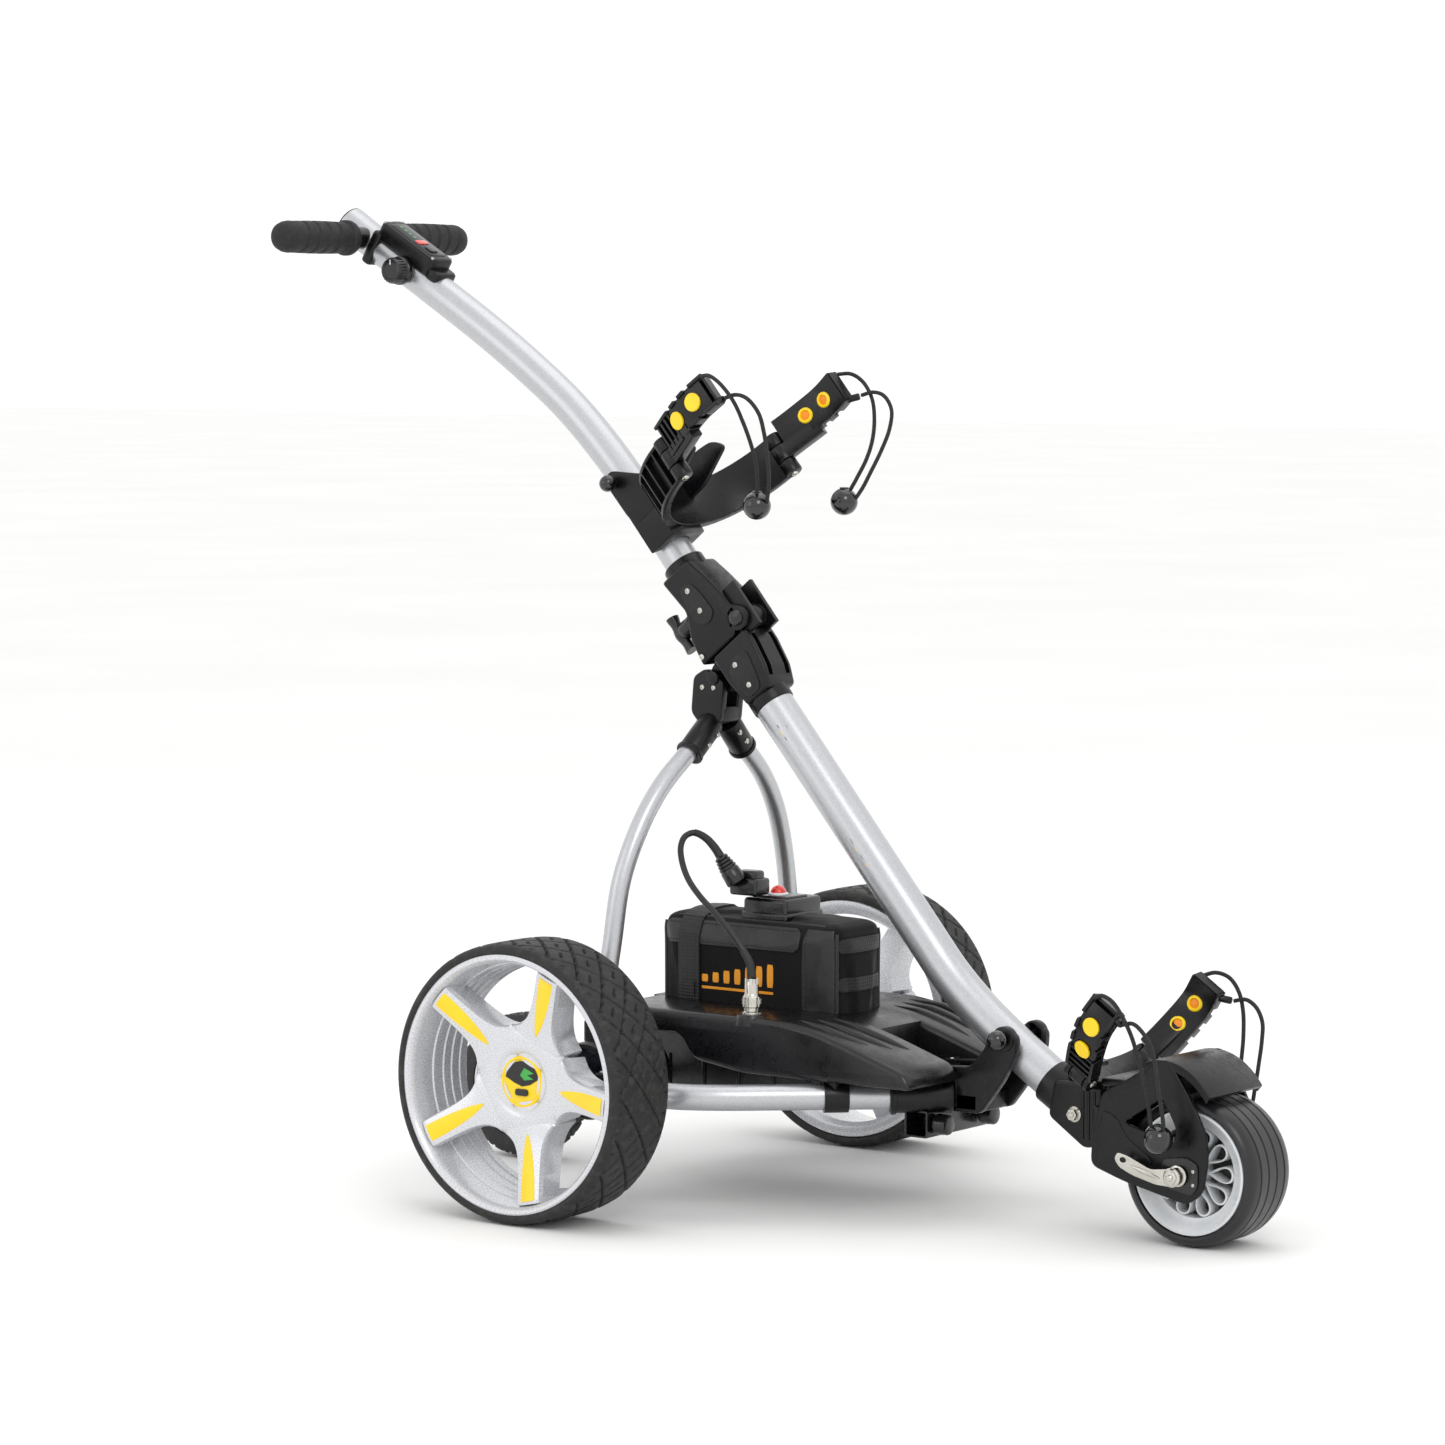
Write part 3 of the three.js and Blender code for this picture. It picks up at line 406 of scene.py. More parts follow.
def loft(sections: Sequence[Sequence[Vector]]) -> Form:
    """A closed skin over sections that have the same number of points."""
    form = Form()
    rows = [[form.mesh.verts.new(point) for point in section] for section in sections]
    for first, second in zip(rows, rows[1:]):
        for k in range(len(first)):
            j = (k + 1) % len(first)
            form.mesh.faces.new((first[k], first[j], second[j], second[k]))
    form.mesh.faces.new(rows[0])
    form.mesh.faces.new(list(reversed(rows[-1])))
    return form.outward()


def emit(name: str, form: Form, body: str, finish: str, nodes: Sequence[str] = (),
         sharp: float = 32.0) -> bpy.types.Object:
    """Makes a form a finished piece of the trolley.

    Args:
        name: the piece's name.
        form: its shape in millimetres in the axle frame.
        body: the body that it rides on.
        finish: the name of its finish.
        nodes: the CAD nodes that it stands for.
        sharp: edges over this angle in degrees stay crisp.

    Returns:
        The object, at the origin, with its place in its mesh.
    """
    form.moved(TO_FRAME)
    limit = math.radians(sharp)
    for face in form.mesh.faces:
        face.smooth = True
    for edge in form.mesh.edges:
        edge.smooth = len(edge.link_faces) != 2 or edge.calc_face_angle(0) < limit
    mesh = bpy.data.meshes.new(name)
    form.mesh.to_mesh(mesh)
    form.mesh.free()
    mesh.materials.append(PAINT[finish])
    piece = placed(name, mesh)
    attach(piece, body)
    if nodes:
        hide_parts(*nodes)
    if finish in SLOTS:
        SLOTS[finish]
    LOG.info("%s: %d faces on %s", name, len(mesh.polygons), body)
    return piece


# ---------------------------------------------------------------- geometry nodes
def add_node(tree: bpy.types.NodeTree, kind: str, inputs: dict[str | int, object] | None = None,
             **settings: object) -> bpy.types.Node:
    """Adds a node with its settings, and its inputs as values or as links from other sockets."""
    made = tree.nodes.new(kind)
    for key, value in settings.items():
        setattr(made, key, value)
    for key, value in (inputs or {}).items():
        socket = made.inputs[key]
        if isinstance(value, bpy.types.NodeSocket):
            tree.links.new(value, socket)
        else:
            socket.default_value = value
    return made


class Repeat(Enum):
    """How a repeated shape is placed."""

    AT_POINTS = "placed at points"
    AROUND = "ring around an axis"
    ALONG = "row along a path"


def repeat_tree(way: Repeat) -> bpy.types.NodeTree:
    """The node tree that repeats one shape, with named inputs and a Set Material at its end."""
    if way.value in bpy.data.node_groups:
        return bpy.data.node_groups[way.value]
    tree = bpy.data.node_groups.new(way.value, "GeometryNodeTree")
    for name, kind in (("Geometry", "Geometry"), ("Shape", "Object"), ("Finish", "Material"),
                       ("Count", "Int"), ("Pitch", "Float")):
        tree.interface.new_socket(name, in_out="INPUT", socket_type=f"NodeSocket{kind}")
    tree.interface.new_socket("Geometry", in_out="OUTPUT", socket_type="NodeSocketGeometry")
    start = add_node(tree, "NodeGroupInput")
    shape = add_node(tree, "GeometryNodeObjectInfo", {"Object": start.outputs["Shape"]},
                     transform_space="ORIGINAL")
    if way is Repeat.AT_POINTS:
        turn = add_node(tree, "GeometryNodeInputNamedAttribute", {"Name": "turn"}, data_type="FLOAT_VECTOR")
        places = start.outputs["Geometry"]
        angle = turn.outputs["Attribute"]
    elif way is Repeat.AROUND:
        index = add_node(tree, "GeometryNodeInputIndex")
        step = add_node(tree, "ShaderNodeMath", {0: math.tau, 1: start.outputs["Count"]}, operation="DIVIDE")
        here = add_node(tree, "ShaderNodeMath", {0: index.outputs[0], 1: step.outputs[0]},
                        operation="MULTIPLY")
        angle = add_node(tree, "ShaderNodeCombineXYZ", {"X": here.outputs[0]}).outputs[0]
        places = add_node(tree, "GeometryNodePoints", {"Count": start.outputs["Count"]}).outputs[0]
    else:
        path = add_node(tree, "GeometryNodeMeshToCurve", {"Mesh": start.outputs["Geometry"]})
        even = add_node(tree, "GeometryNodeCurveToPoints",
                        {"Curve": path.outputs[0], "Length": start.outputs["Pitch"]}, mode="LENGTH")
        places = even.outputs["Points"]
        angle = even.outputs["Rotation"]
    spread = add_node(tree, "GeometryNodeInstanceOnPoints",
                      {"Points": places, "Instance": shape.outputs["Geometry"], "Rotation": angle})
    real = add_node(tree, "GeometryNodeRealizeInstances", {"Geometry": spread.outputs[0]})
    dressed = add_node(tree, "GeometryNodeSetMaterial",
                       {"Geometry": real.outputs[0], "Material": start.outputs["Finish"]})
    add_node(tree, "NodeGroupOutput", {"Geometry": dressed.outputs[0]})
    return tree


def repeated(name: str, way: Repeat, shape: Form, finish: str, body: str,
             places: Sequence[Matrix] = (), path: Sequence[Vector] = (), count: int = 1, pitch: float = 1.0,
             centre: Matrix | None = None, nodes: Sequence[str] = ()) -> bpy.types.Object:
    """Repeats a shape by geometry nodes and turns the result into one plain piece.

    Args:
        name: the finished piece's name.
        way: how the copies are placed.
        shape: the shape, in millimetres about its own origin.
        finish: the name of the copies' finish.
        body: the body that the piece rides on.
        places: a frame for each copy, for AT_POINTS.
        path: the points of the row, for ALONG.
        count: the number of copies, for AROUND, which turns them about the local X axis.
        pitch: the distance between copies in millimetres, for ALONG.
        centre: takes the ring to its place, for AROUND.
        nodes: the CAD nodes that the piece stands for.
    """
    source = placed(f"{name}_shape", bpy.data.meshes.new(f"{name}_shape"))
    shape.mesh.to_mesh(source.data)
    carrier_mesh = bpy.data.meshes.new(f"{name}_places")
    spots = [place.translation for place in places] or list(path) or [Vector()]
    carrier_mesh.from_pydata(spots, [(i, i + 1) for i in range(len(path) - 1)], [])
    if places:
        turns = carrier_mesh.attributes.new("turn", "FLOAT_VECTOR", "POINT")
        for item, place in zip(turns.data, places):
            item.vector = place.to_euler()
    carrier = placed(f"{name}_places", carrier_mesh)
    tree = repeat_tree(way)
    maker = carrier.modifiers.new("repeat", "NODES")
    maker.node_group = tree
    values = {"Shape": source, "Finish": PAINT[finish], "Count": count, "Pitch": pitch}
    for item in tree.interface.items_tree:
        if item.item_type == "SOCKET" and item.in_out == "INPUT" and item.name in values:
            maker[item.identifier] = values[item.name]
    plain = evaluated(carrier)
    form = Form()
    form.mesh.from_mesh(plain)
    if centre is not None:
        form.moved(centre)
    discard(carrier, source)
    bpy.data.meshes.remove(plain)
    return emit(name, form, body, finish, nodes)


# ---------------------------------------------------------------- finishes
def linear(hex_colour: str) -> tuple[float, float, float, float]:
    """An sRGB hex colour as linear RGBA."""
    def channel(value: float) -> float:
        return value / 12.92 if value <= 0.04045 else ((value + 0.055) / 1.055) ** 2.4

    digits = hex_colour.lstrip("#")
    return tuple(channel(int(digits[i:i + 2], 16) / 255) for i in (0, 2, 4)) + (1.0,)


@dataclass(frozen=True)
class Finish:
    """A surface with two mixed tones, a fine grain and a wandering roughness.

    Grain and mottle sizes are in millimetres; depths are the bump's distance in millimetres.
    """

    name: str
    tone: str
    second_tone: str
    roughness: float
    roughness_spread: float = 0.08
    metallic: float = 0.0
    ior: float = 1.5
    grain_mm: float = 0.6
    grain_depth_mm: float = 0.03
    mottle_mm: float = 30.0
    coat: float = 0.0
    sheen: float = 0.0
    specular: float = 0.5

    def begin(self) -> tuple[bpy.types.Material, bpy.types.NodeTree, bpy.types.Node, bpy.types.NodeSocket]:
        """Makes the material with its shader's plain numbers set on the sockets.

        Returns:
            The material, its tree, the shader and the Object coordinates.
        """
        material = bpy.data.materials.new(self.name)
        material.use_nodes = True
        tree = material.node_tree
        tree.nodes.clear()
        out = add_node(tree, "ShaderNodeOutputMaterial")
        shader = add_node(tree, "ShaderNodeBsdfPrincipled", {"Metallic": self.metallic, "IOR": self.ior,
                                                           "Coat Weight": self.coat, "Coat Roughness": 0.12,
                                                           "Sheen Weight": self.sheen, "Sheen Roughness": 0.4,
                                                           "Specular IOR Level": self.specular})
        tree.links.new(shader.outputs[0], out.inputs[0])
        coordinates = add_node(tree, "ShaderNodeTexCoord").outputs["Object"]
        return material, tree, shader, coordinates

    def noise(self, tree: bpy.types.NodeTree, at: bpy.types.NodeSocket, size_mm: float, detail: float = 3.0,
              rough: float = 0.55) -> bpy.types.NodeSocket:
        """A noise value whose features are about the given size."""
        made = add_node(tree, "ShaderNodeTexNoise",
                        {"Vector": at, "Scale": 1 / (size_mm * MM), "Detail": detail, "Roughness": rough})
        return made.outputs["Fac"]

    def ramp(self, tree: bpy.types.NodeTree, value: bpy.types.NodeSocket, low: float, high: float,
             to_low: float, to_high: float) -> bpy.types.NodeSocket:
        """A value mapped from one range to another and held inside it."""
        made = add_node(tree, "ShaderNodeMapRange",
                        {"Value": value, "From Min": low, "From Max": high, "To Min": to_low,
                         "To Max": to_high})
        return made.outputs[0]

    def blend(self, tree: bpy.types.NodeTree, share: bpy.types.NodeSocket, first: object,
              second: object) -> bpy.types.NodeSocket:
        """A colour mixed between two colours or colour sockets."""
        made = add_node(tree, "ShaderNodeMix", {0: share, 6: first, 7: second}, data_type="RGBA")
        return made.outputs[2]

    def bump(self, tree: bpy.types.NodeTree, height: bpy.types.NodeSocket, depth_mm: float,
             under: bpy.types.NodeSocket | None = None) -> bpy.types.NodeSocket:
        """A normal from a height of 0 to 1, over another normal where one is given."""
        inputs: dict[str | int, object] = {"Height": height, "Strength": 1.0, "Distance": depth_mm * MM}
        if under is not None:
            inputs["Normal"] = under
        return add_node(tree, "ShaderNodeBump", inputs).outputs[0]

    def connect(self, tree: bpy.types.NodeTree, shader: bpy.types.Node, colour: bpy.types.NodeSocket,
                rough: bpy.types.NodeSocket, normal: bpy.types.NodeSocket) -> None:
        """Joins the colour, the roughness and the normal to the shader."""
        for name, value in (("Base Color", colour), ("Roughness", rough), ("Normal", normal)):
            tree.links.new(value, shader.inputs[name])

    def make(self) -> bpy.types.Material:
        """Builds the material."""
        material, tree, shader, at = self.begin()
        mottle = self.noise(tree, at, self.mottle_mm)
        share = self.ramp(tree, mottle, 0.3, 0.7, 0.0, 1.0)
        colour = self.blend(tree, share, linear(self.tone), linear(self.second_tone))
        patchy = self.noise(tree, at, self.mottle_mm / 6)
        spread = self.roughness_spread
        rough = self.ramp(tree, patchy, 0.3, 0.7, self.roughness - spread, self.roughness + spread)
        grain = self.noise(tree, at, self.grain_mm, 2.0)
        self.connect(tree, shader, colour, rough, self.bump(tree, grain, self.grain_depth_mm))
        return material


@dataclass(frozen=True)
class FlakeLacquer(Finish):
    """Silver lacquer: bright aluminium flakes under a clear coat, so that it sparkles in fine specks."""

    flake_mm: float = 1.1
    peel_mm: float = 2.5
    peel_depth_mm: float = 0.004

    def make(self) -> bpy.types.Material:
        """Builds the material."""
        material, tree, shader, at = self.begin()
        flakes = add_node(tree, "ShaderNodeTexVoronoi", {"Vector": at, "Scale": 1 / (self.flake_mm * MM)})
        speck = add_node(tree, "ShaderNodeSeparateColor", {0: flakes.outputs["Color"]}).outputs[0]
        share = self.ramp(tree, speck, 0.0, 1.0, 0.0, 1.0)
        colour = self.blend(tree, share, linear(self.second_tone), linear(self.tone))
        spread = self.roughness_spread
        rough = self.ramp(tree, speck, 0.0, 1.0, self.roughness - spread, self.roughness + spread)
        peel = self.noise(tree, at, self.peel_mm, 1.0)
        fine = self.bump(tree, speck, self.grain_depth_mm)
        self.connect(tree, shader, colour, rough, self.bump(tree, peel, self.peel_depth_mm, fine))
        return material


@dataclass(frozen=True)
class TyreRubber(Finish):
    """Moulded rubber with pale dust caught in patches of its fine grain."""

    dust: str = "#6f6a60"
    dust_share: float = 0.32

    def make(self) -> bpy.types.Material:
        """Builds the material."""
        material, tree, shader, at = self.begin()
        dust = self.ramp(tree, self.noise(tree, at, 9.0, 6.0, 0.75), 0.5, 0.76, 0.0, self.dust_share)
        colour = self.blend(tree, dust, linear(self.tone), linear(self.dust))
        rough = self.ramp(tree, dust, 0.0, self.dust_share, self.roughness - 0.1, self.roughness + 0.1)
        fine = self.bump(tree, self.noise(tree, at, self.grain_mm), self.grain_depth_mm)
        self.connect(tree, shader, colour, rough, fine)
        return material


@dataclass(frozen=True)
class Cloth(Finish):
    """Woven or knitted cloth: two crossing sets of threads under a soft sheen."""

    thread_mm: float = 1.2
    thread_depth_mm: float = 0.25

    def make(self) -> bpy.types.Material:
        """Builds the material."""
        material, tree, shader, at = self.begin()
        waves = []
        for direction in ("X", "Y", "Z"):
            wave = add_node(tree, "ShaderNodeTexWave",
                            {"Vector": at, "Scale": 1 / (self.thread_mm * MM * 6.2), "Distortion": 0.6},
                            bands_direction=direction)
            waves.append(wave.outputs["Fac"])
        first = add_node(tree, "ShaderNodeMath", {0: waves[0], 1: waves[1]}, operation="ADD")
        weave = add_node(tree, "ShaderNodeMath", {0: first.outputs[0], 1: waves[2]}, operation="ADD")
        height = self.ramp(tree, weave.outputs[0], 0.6, 2.6, 0.0, 1.0)
        share = self.ramp(tree, self.noise(tree, at, self.mottle_mm), 0.35, 0.7, 0.0, 1.0)
        colour = self.blend(tree, share, linear(self.tone), linear(self.second_tone))
        rough = self.ramp(tree, height, 0.0, 1.0, self.roughness + 0.05, self.roughness - 0.05)
        fuzz = self.bump(tree, self.noise(tree, at, self.grain_mm), self.grain_depth_mm)
        self.connect(tree, shader, colour, rough, self.bump(tree, height, self.thread_depth_mm, fuzz))
        return material


@dataclass(frozen=True)
class Leather(Finish):
    """Leather-look vinyl: small cells pressed into a soft black film, with painted shade in the creases
    between the cells.
    """

    cell_mm: float = 1.6
    cell_depth_mm: float = 0.12

    def make(self) -> bpy.types.Material:
        """Builds the material."""
        material, tree, shader, at = self.begin()
        cells = add_node(tree, "ShaderNodeTexVoronoi", {"Vector": at, "Scale": 1 / (self.cell_mm * MM)},
                         feature="DISTANCE_TO_EDGE")
        height = self.ramp(tree, cells.outputs["Distance"], 0.0, 0.25, 0.0, 1.0)
        # Painted shade: the creases between the cells take the darker second tone, and the tops of the cells
        # the plain tone.
        colour = self.blend(tree, height, linear(self.second_tone), linear(self.tone))
        wear = self.noise(tree, at, 14.0)
        rough = self.ramp(tree, wear, 0.3, 0.7, self.roughness - 0.08, self.roughness + 0.1)
        self.connect(tree, shader, colour, rough, self.bump(tree, height, self.cell_depth_mm))
        return material


@dataclass(frozen=True)
class Braid(Finish):
    """Braided elastic sleeve: strands cross round the cord, read from the tube's own map, with painted shade
    in the gaps between the strands.
    """

    strands: int = 8
    strand_depth_mm: float = 0.3

    def make(self) -> bpy.types.Material:
        """Builds the material."""
        material, tree, shader, at = self.begin()
        uv = add_node(tree, "ShaderNodeUVMap", uv_map="UVMap").outputs[0]
        parts = add_node(tree, "ShaderNodeSeparateXYZ", {0: uv})
        heights = []
        for sign in (1, -1):
            turn = add_node(tree, "ShaderNodeMath", {0: parts.outputs["X"], 1: sign * self.strands,
                                                    2: parts.outputs["Y"]}, operation="MULTIPLY_ADD")
            angle = add_node(tree, "ShaderNodeMath", {0: turn.outputs[0], 1: math.tau}, operation="MULTIPLY")
            heights.append(add_node(tree, "ShaderNodeMath", {0: angle.outputs[0]},
                                    operation="SINE").outputs[0])
        both = add_node(tree, "ShaderNodeMath", {0: heights[0], 1: heights[1]}, operation="MAXIMUM")
        height = self.ramp(tree, both.outputs[0], -0.4, 1.0, 0.0, 1.0)
        # Painted shade: the gaps between the strands take the darker second tone, and the crowns of the
        # strands the plain tone.
        colour = self.blend(tree, height, linear(self.second_tone), linear(self.tone))
        wear = self.noise(tree, at, 5.0)
        rough = self.ramp(tree, wear, 0.3, 0.7, self.roughness - 0.05, self.roughness + 0.05)
        self.connect(tree, shader, colour, rough, self.bump(tree, height, self.strand_depth_mm))
        return material


FINISHES: dict[str, Finish] = {
    # Aluminium tube in two-pack silver lacquer: coarse flake, satin, bright where it faces the light.
    "tube_lacquer": FlakeLacquer("silver_lacquer_on_aluminium", "#c4c5c8", "#b4b6b9", 0.34, 0.04,
                                 metallic=0.85, grain_depth_mm=0.002, coat=0.25, flake_mm=0.8),
    # Injection-moulded nylon wheel in silver paint: finer flake and a wetter coat than the tubes.
    "rim_paint": FlakeLacquer("silver_paint_on_nylon", "#d3d4d8", "#cdced2", 0.28, 0.03, metallic=0.4,
                              grain_depth_mm=0.0008, coat=0.5, flake_mm=0.5),
    "casting": Finish("spark_textured_black_nylon", "#060507", "#0c0b0e", 0.34, 0.09, grain_mm=0.7,
                      grain_depth_mm=0.03, specular=0.34),
    "smooth_nylon": Finish("gloss_moulded_black_abs", "#0a0a0c", "#111114", 0.26, 0.07, grain_mm=1.5,
                           grain_depth_mm=0.02, coat=0.2),
    "tray": Finish("thermoformed_black_abs", "#0b0b0d", "#131316", 0.3, 0.06, grain_mm=1.2,
                   grain_depth_mm=0.02, mottle_mm=60.0),
    "phenolic": Finish("polished_phenolic_ball", "#060607", "#0b0b0d", 0.07, 0.03, grain_mm=4.0,
                       grain_depth_mm=0.01, coat=0.6),
    "yellow": Finish("yellow_moulded_abs", "#fad400", "#f2ca00", 0.34, 0.05, grain_mm=1.0,
                     grain_depth_mm=0.02, coat=0.2),
    "orange": Finish("orange_moulded_abs", "#ef8d08", "#e27f04", 0.4, 0.05),
    "white": Finish("off_white_moulded_nylon", "#dfe1e3", "#cfd2d5", 0.3, 0.06, grain_mm=1.4,
                    grain_depth_mm=0.03, coat=0.3),
    "petal_grey": Finish("dark_grey_moulded_nylon", "#3a3b36", "#4a4b46", 0.5, 0.08),
    "grip": Finish("matt_black_grip_rubber", "#19181a", "#232224", 0.66, 0.08, grain_mm=0.8,
                   grain_depth_mm=0.08, specular=0.4),
    "nickel": Finish("bright_nickel_plate", "#cfcdc6", "#bdbab2", 0.17, 0.06, metallic=1.0, grain_mm=3.0,
                     grain_depth_mm=0.015),
    "zinc": Finish("zinc_plated_steel", "#c2c3c4", "#a9abae", 0.3, 0.08, metallic=1.0, grain_mm=1.5,
                   grain_depth_mm=0.03),
    "dark_chrome": Finish("black_chrome_plate", "#2a2d33", "#1c1e22", 0.06, 0.03, metallic=1.0, grain_mm=5.0,
                          grain_depth_mm=0.01),
    "rear_tyre": TyreRubber("dusty_tread_rubber", "#0f0e10", "#070708", 0.66, grain_mm=0.8,
                            grain_depth_mm=0.12),
    "anti_tip_tyre": TyreRubber("small_tread_rubber", "#1d1c1f", "#0a0a0b", 0.72, grain_mm=0.8,
                                grain_depth_mm=0.1),
    "front_tyre": TyreRubber("smooth_ribbed_rubber", "#1a191c", "#0b0b0c", 0.4, grain_mm=0.8,
                             grain_depth_mm=0.05, dust="#3a3935", dust_share=0.2),
    "arm_nylon": Finish("glass_filled_black_nylon", "#08070a", "#0e0d10", 0.27, 0.08, grain_mm=1.0,
                        grain_depth_mm=0.015, specular=0.36),
    "neoprene": Cloth("knit_faced_neoprene", "#080607", "#0d0a0b", 0.88, grain_mm=0.9, grain_depth_mm=0.08,
                      sheen=0.12, thread_mm=1.0, thread_depth_mm=0.12, specular=0.3),
    "webbing": Cloth("polypropylene_webbing", "#1a191b", "#0e0d0f", 0.55, thread_mm=1.6,
                     thread_depth_mm=0.35),
    # The vinyl's darker second tone is painted shade in the creases between its cells.
    "vinyl": Leather("black_leather_look_vinyl", "#17171b", "#0c0c0f", 0.38, coat=0.1),
    "thread": Finish("black_polyester_thread", "#2b2a2c", "#1f1e20", 0.6, 0.05, grain_mm=0.4),
    "print": Finish("orange_screen_print", "#f2a01e", "#e69315", 0.55, 0.05, grain_mm=0.8,
                    grain_depth_mm=0.08),
    "lead": Finish("extruded_black_pvc", "#0c0c0e", "#131316", 0.3, 0.06, grain_mm=2.0, grain_depth_mm=0.02),
    "sleeve": Finish("heat_shrink_polyolefin", "#1d1c1e", "#252426", 0.6, 0.06, grain_mm=1.0),
    # The sleeve's darker second tone is painted shade in the gaps between its strands.
    "bungee": Braid("braided_elastic_sleeve", "#232224", "#0a0a0b", 0.7),
    "black_mark": Finish("black_vinyl_marking", "#111113", "#18181a", 0.35, 0.05),
    "green_mark": Finish("green_vinyl_marking", "#3fae49", "#389f42", 0.4, 0.05),
    "red_lens": Finish("red_polycarbonate_lens", "#e02a1c", "#cf2114", 0.12, 0.04, grain_mm=3.0,
                       grain_depth_mm=0.01, coat=0.7),
    "green_lens": Finish("green_polycarbonate_lens", "#2fa24a", "#268f40", 0.15, 0.04, coat=0.6),
}


# The record's material slot that each finish belongs to.
SLOTS: dict[str, str] = {
    "tube_lacquer": "tube_silver", "rim_paint": "rim_silver", "white": "rim_white",
    "casting": "black_casting", "smooth_nylon": "black_casting", "tray": "black_casting",
    "grip": "grip_rubber", "rear_tyre": "tyre_rubber", "front_tyre": "tyre_rubber",
    "anti_tip_tyre": "tyre_rubber", "phenolic": "ball_gloss", "nickel": "bright_steel",
    "zinc": "bright_steel", "bungee": "cord_black", "lead": "cord_black", "neoprene": "battery_case",
    "arm_nylon": "arm_grey",
}


class Finishes:
    """Makes each finish once, when it is first asked for."""

    def __init__(self) -> None:
        """Starts with none made."""
        self.made: dict[str, bpy.types.Material] = {}

    def __getitem__(self, key: str) -> bpy.types.Material:
        """The material of a finish."""
        if key not in self.made:
            self.made[key] = FINISHES[key].make()
        return self.made[key]


PAINT = Finishes()


# ---------------------------------------------------------------- cords
@dataclass
class Bungee:
    """An elastic loop that leaves an arm's tip, runs through a ball and comes back to the tip."""

    name: str
    body: str
    route: list[Triple]
    ball_centre: Triple
    length_m: float
    radius: float = 1.9
    ball_radius: float = 13.0

    def build(self, side: Side) -> None:
        """Makes the cord and its ball on one side."""
        line = smooth_path(on_side(self.route, side), 120)
        cord_name = f"{self.name}_bungee_{side.word}"
        ball_name = f"{self.name}_ball_{side.word}"
        body = f"{self.body}_{side.word}"
        cord = emit(f"{cord_name}_cord", sweep(line, self.radius, 10), body, "bungee", [cord_name])
        centre = on_side([self.ball_centre], side)[0]
        knob = emit(f"{ball_name}_moulded", self.ball(centre), body, "phenolic", [ball_name])
        path = [tuple(TO_FRAME @ p) for p in line]
        path[0]

    def ball(self, centre: Vector) -> Form:
        """The moulded ball with a small flat collar under its bore."""
        r = self.ball_radius
        steps = 20
        collar = 0.34
        profile = [(0, -r)]
        for i in range(1, steps + 1):
            angle = (math.pi - collar) * i / steps
            profile.append((r * math.sin(angle), -r * math.cos(angle)))
        rim = profile[-1][0]
        profile += [(rim, r + 0.3), (rim - 0.8, r + 0.6), (0, r + 0.6)]
        return lathe(profile, Matrix.Translation(centre), 40)


UPPER_BUNGEE = Bungee("upper", "upper_bag_arm", [
    (-109, -72, 762.5), (-113, -84, 763), (-114, -97, 756), (-111, -110, 740), (-105, -117, 720),
    (-97, -120, 700), (-88, -119, 682), (-79, -114, 664), (-73, -110, 650), (-71, -117, 646),
    (-75, -123, 655), (-82, -129, 672), (-92, -134, 692), (-101, -137, 712), (-107, -135, 730),
    (-110, -124, 743), (-110, -112, 746), (-109, -99.5, 743)], (-70, -107, 644), 0.296)
LOWER_BUNGEE = Bungee("lower", "lower_bag_arm", [
    (-92, -488, 224), (-97, -499, 227), (-100, -511, 223), (-100, -521, 211), (-96, -528, 194),
    (-90, -532, 172), (-83, -534, 150), (-77, -535, 128), (-74, -537, 110), (-73, -544, 106),
    (-76, -549, 113), (-81, -550, 130), (-87, -550, 150), (-92, -550, 170), (-96, -548, 186),
    (-98, -540, 199), (-97, -530, 205), (-95, -519, 203)], (-71, -541, 101), 0.281)


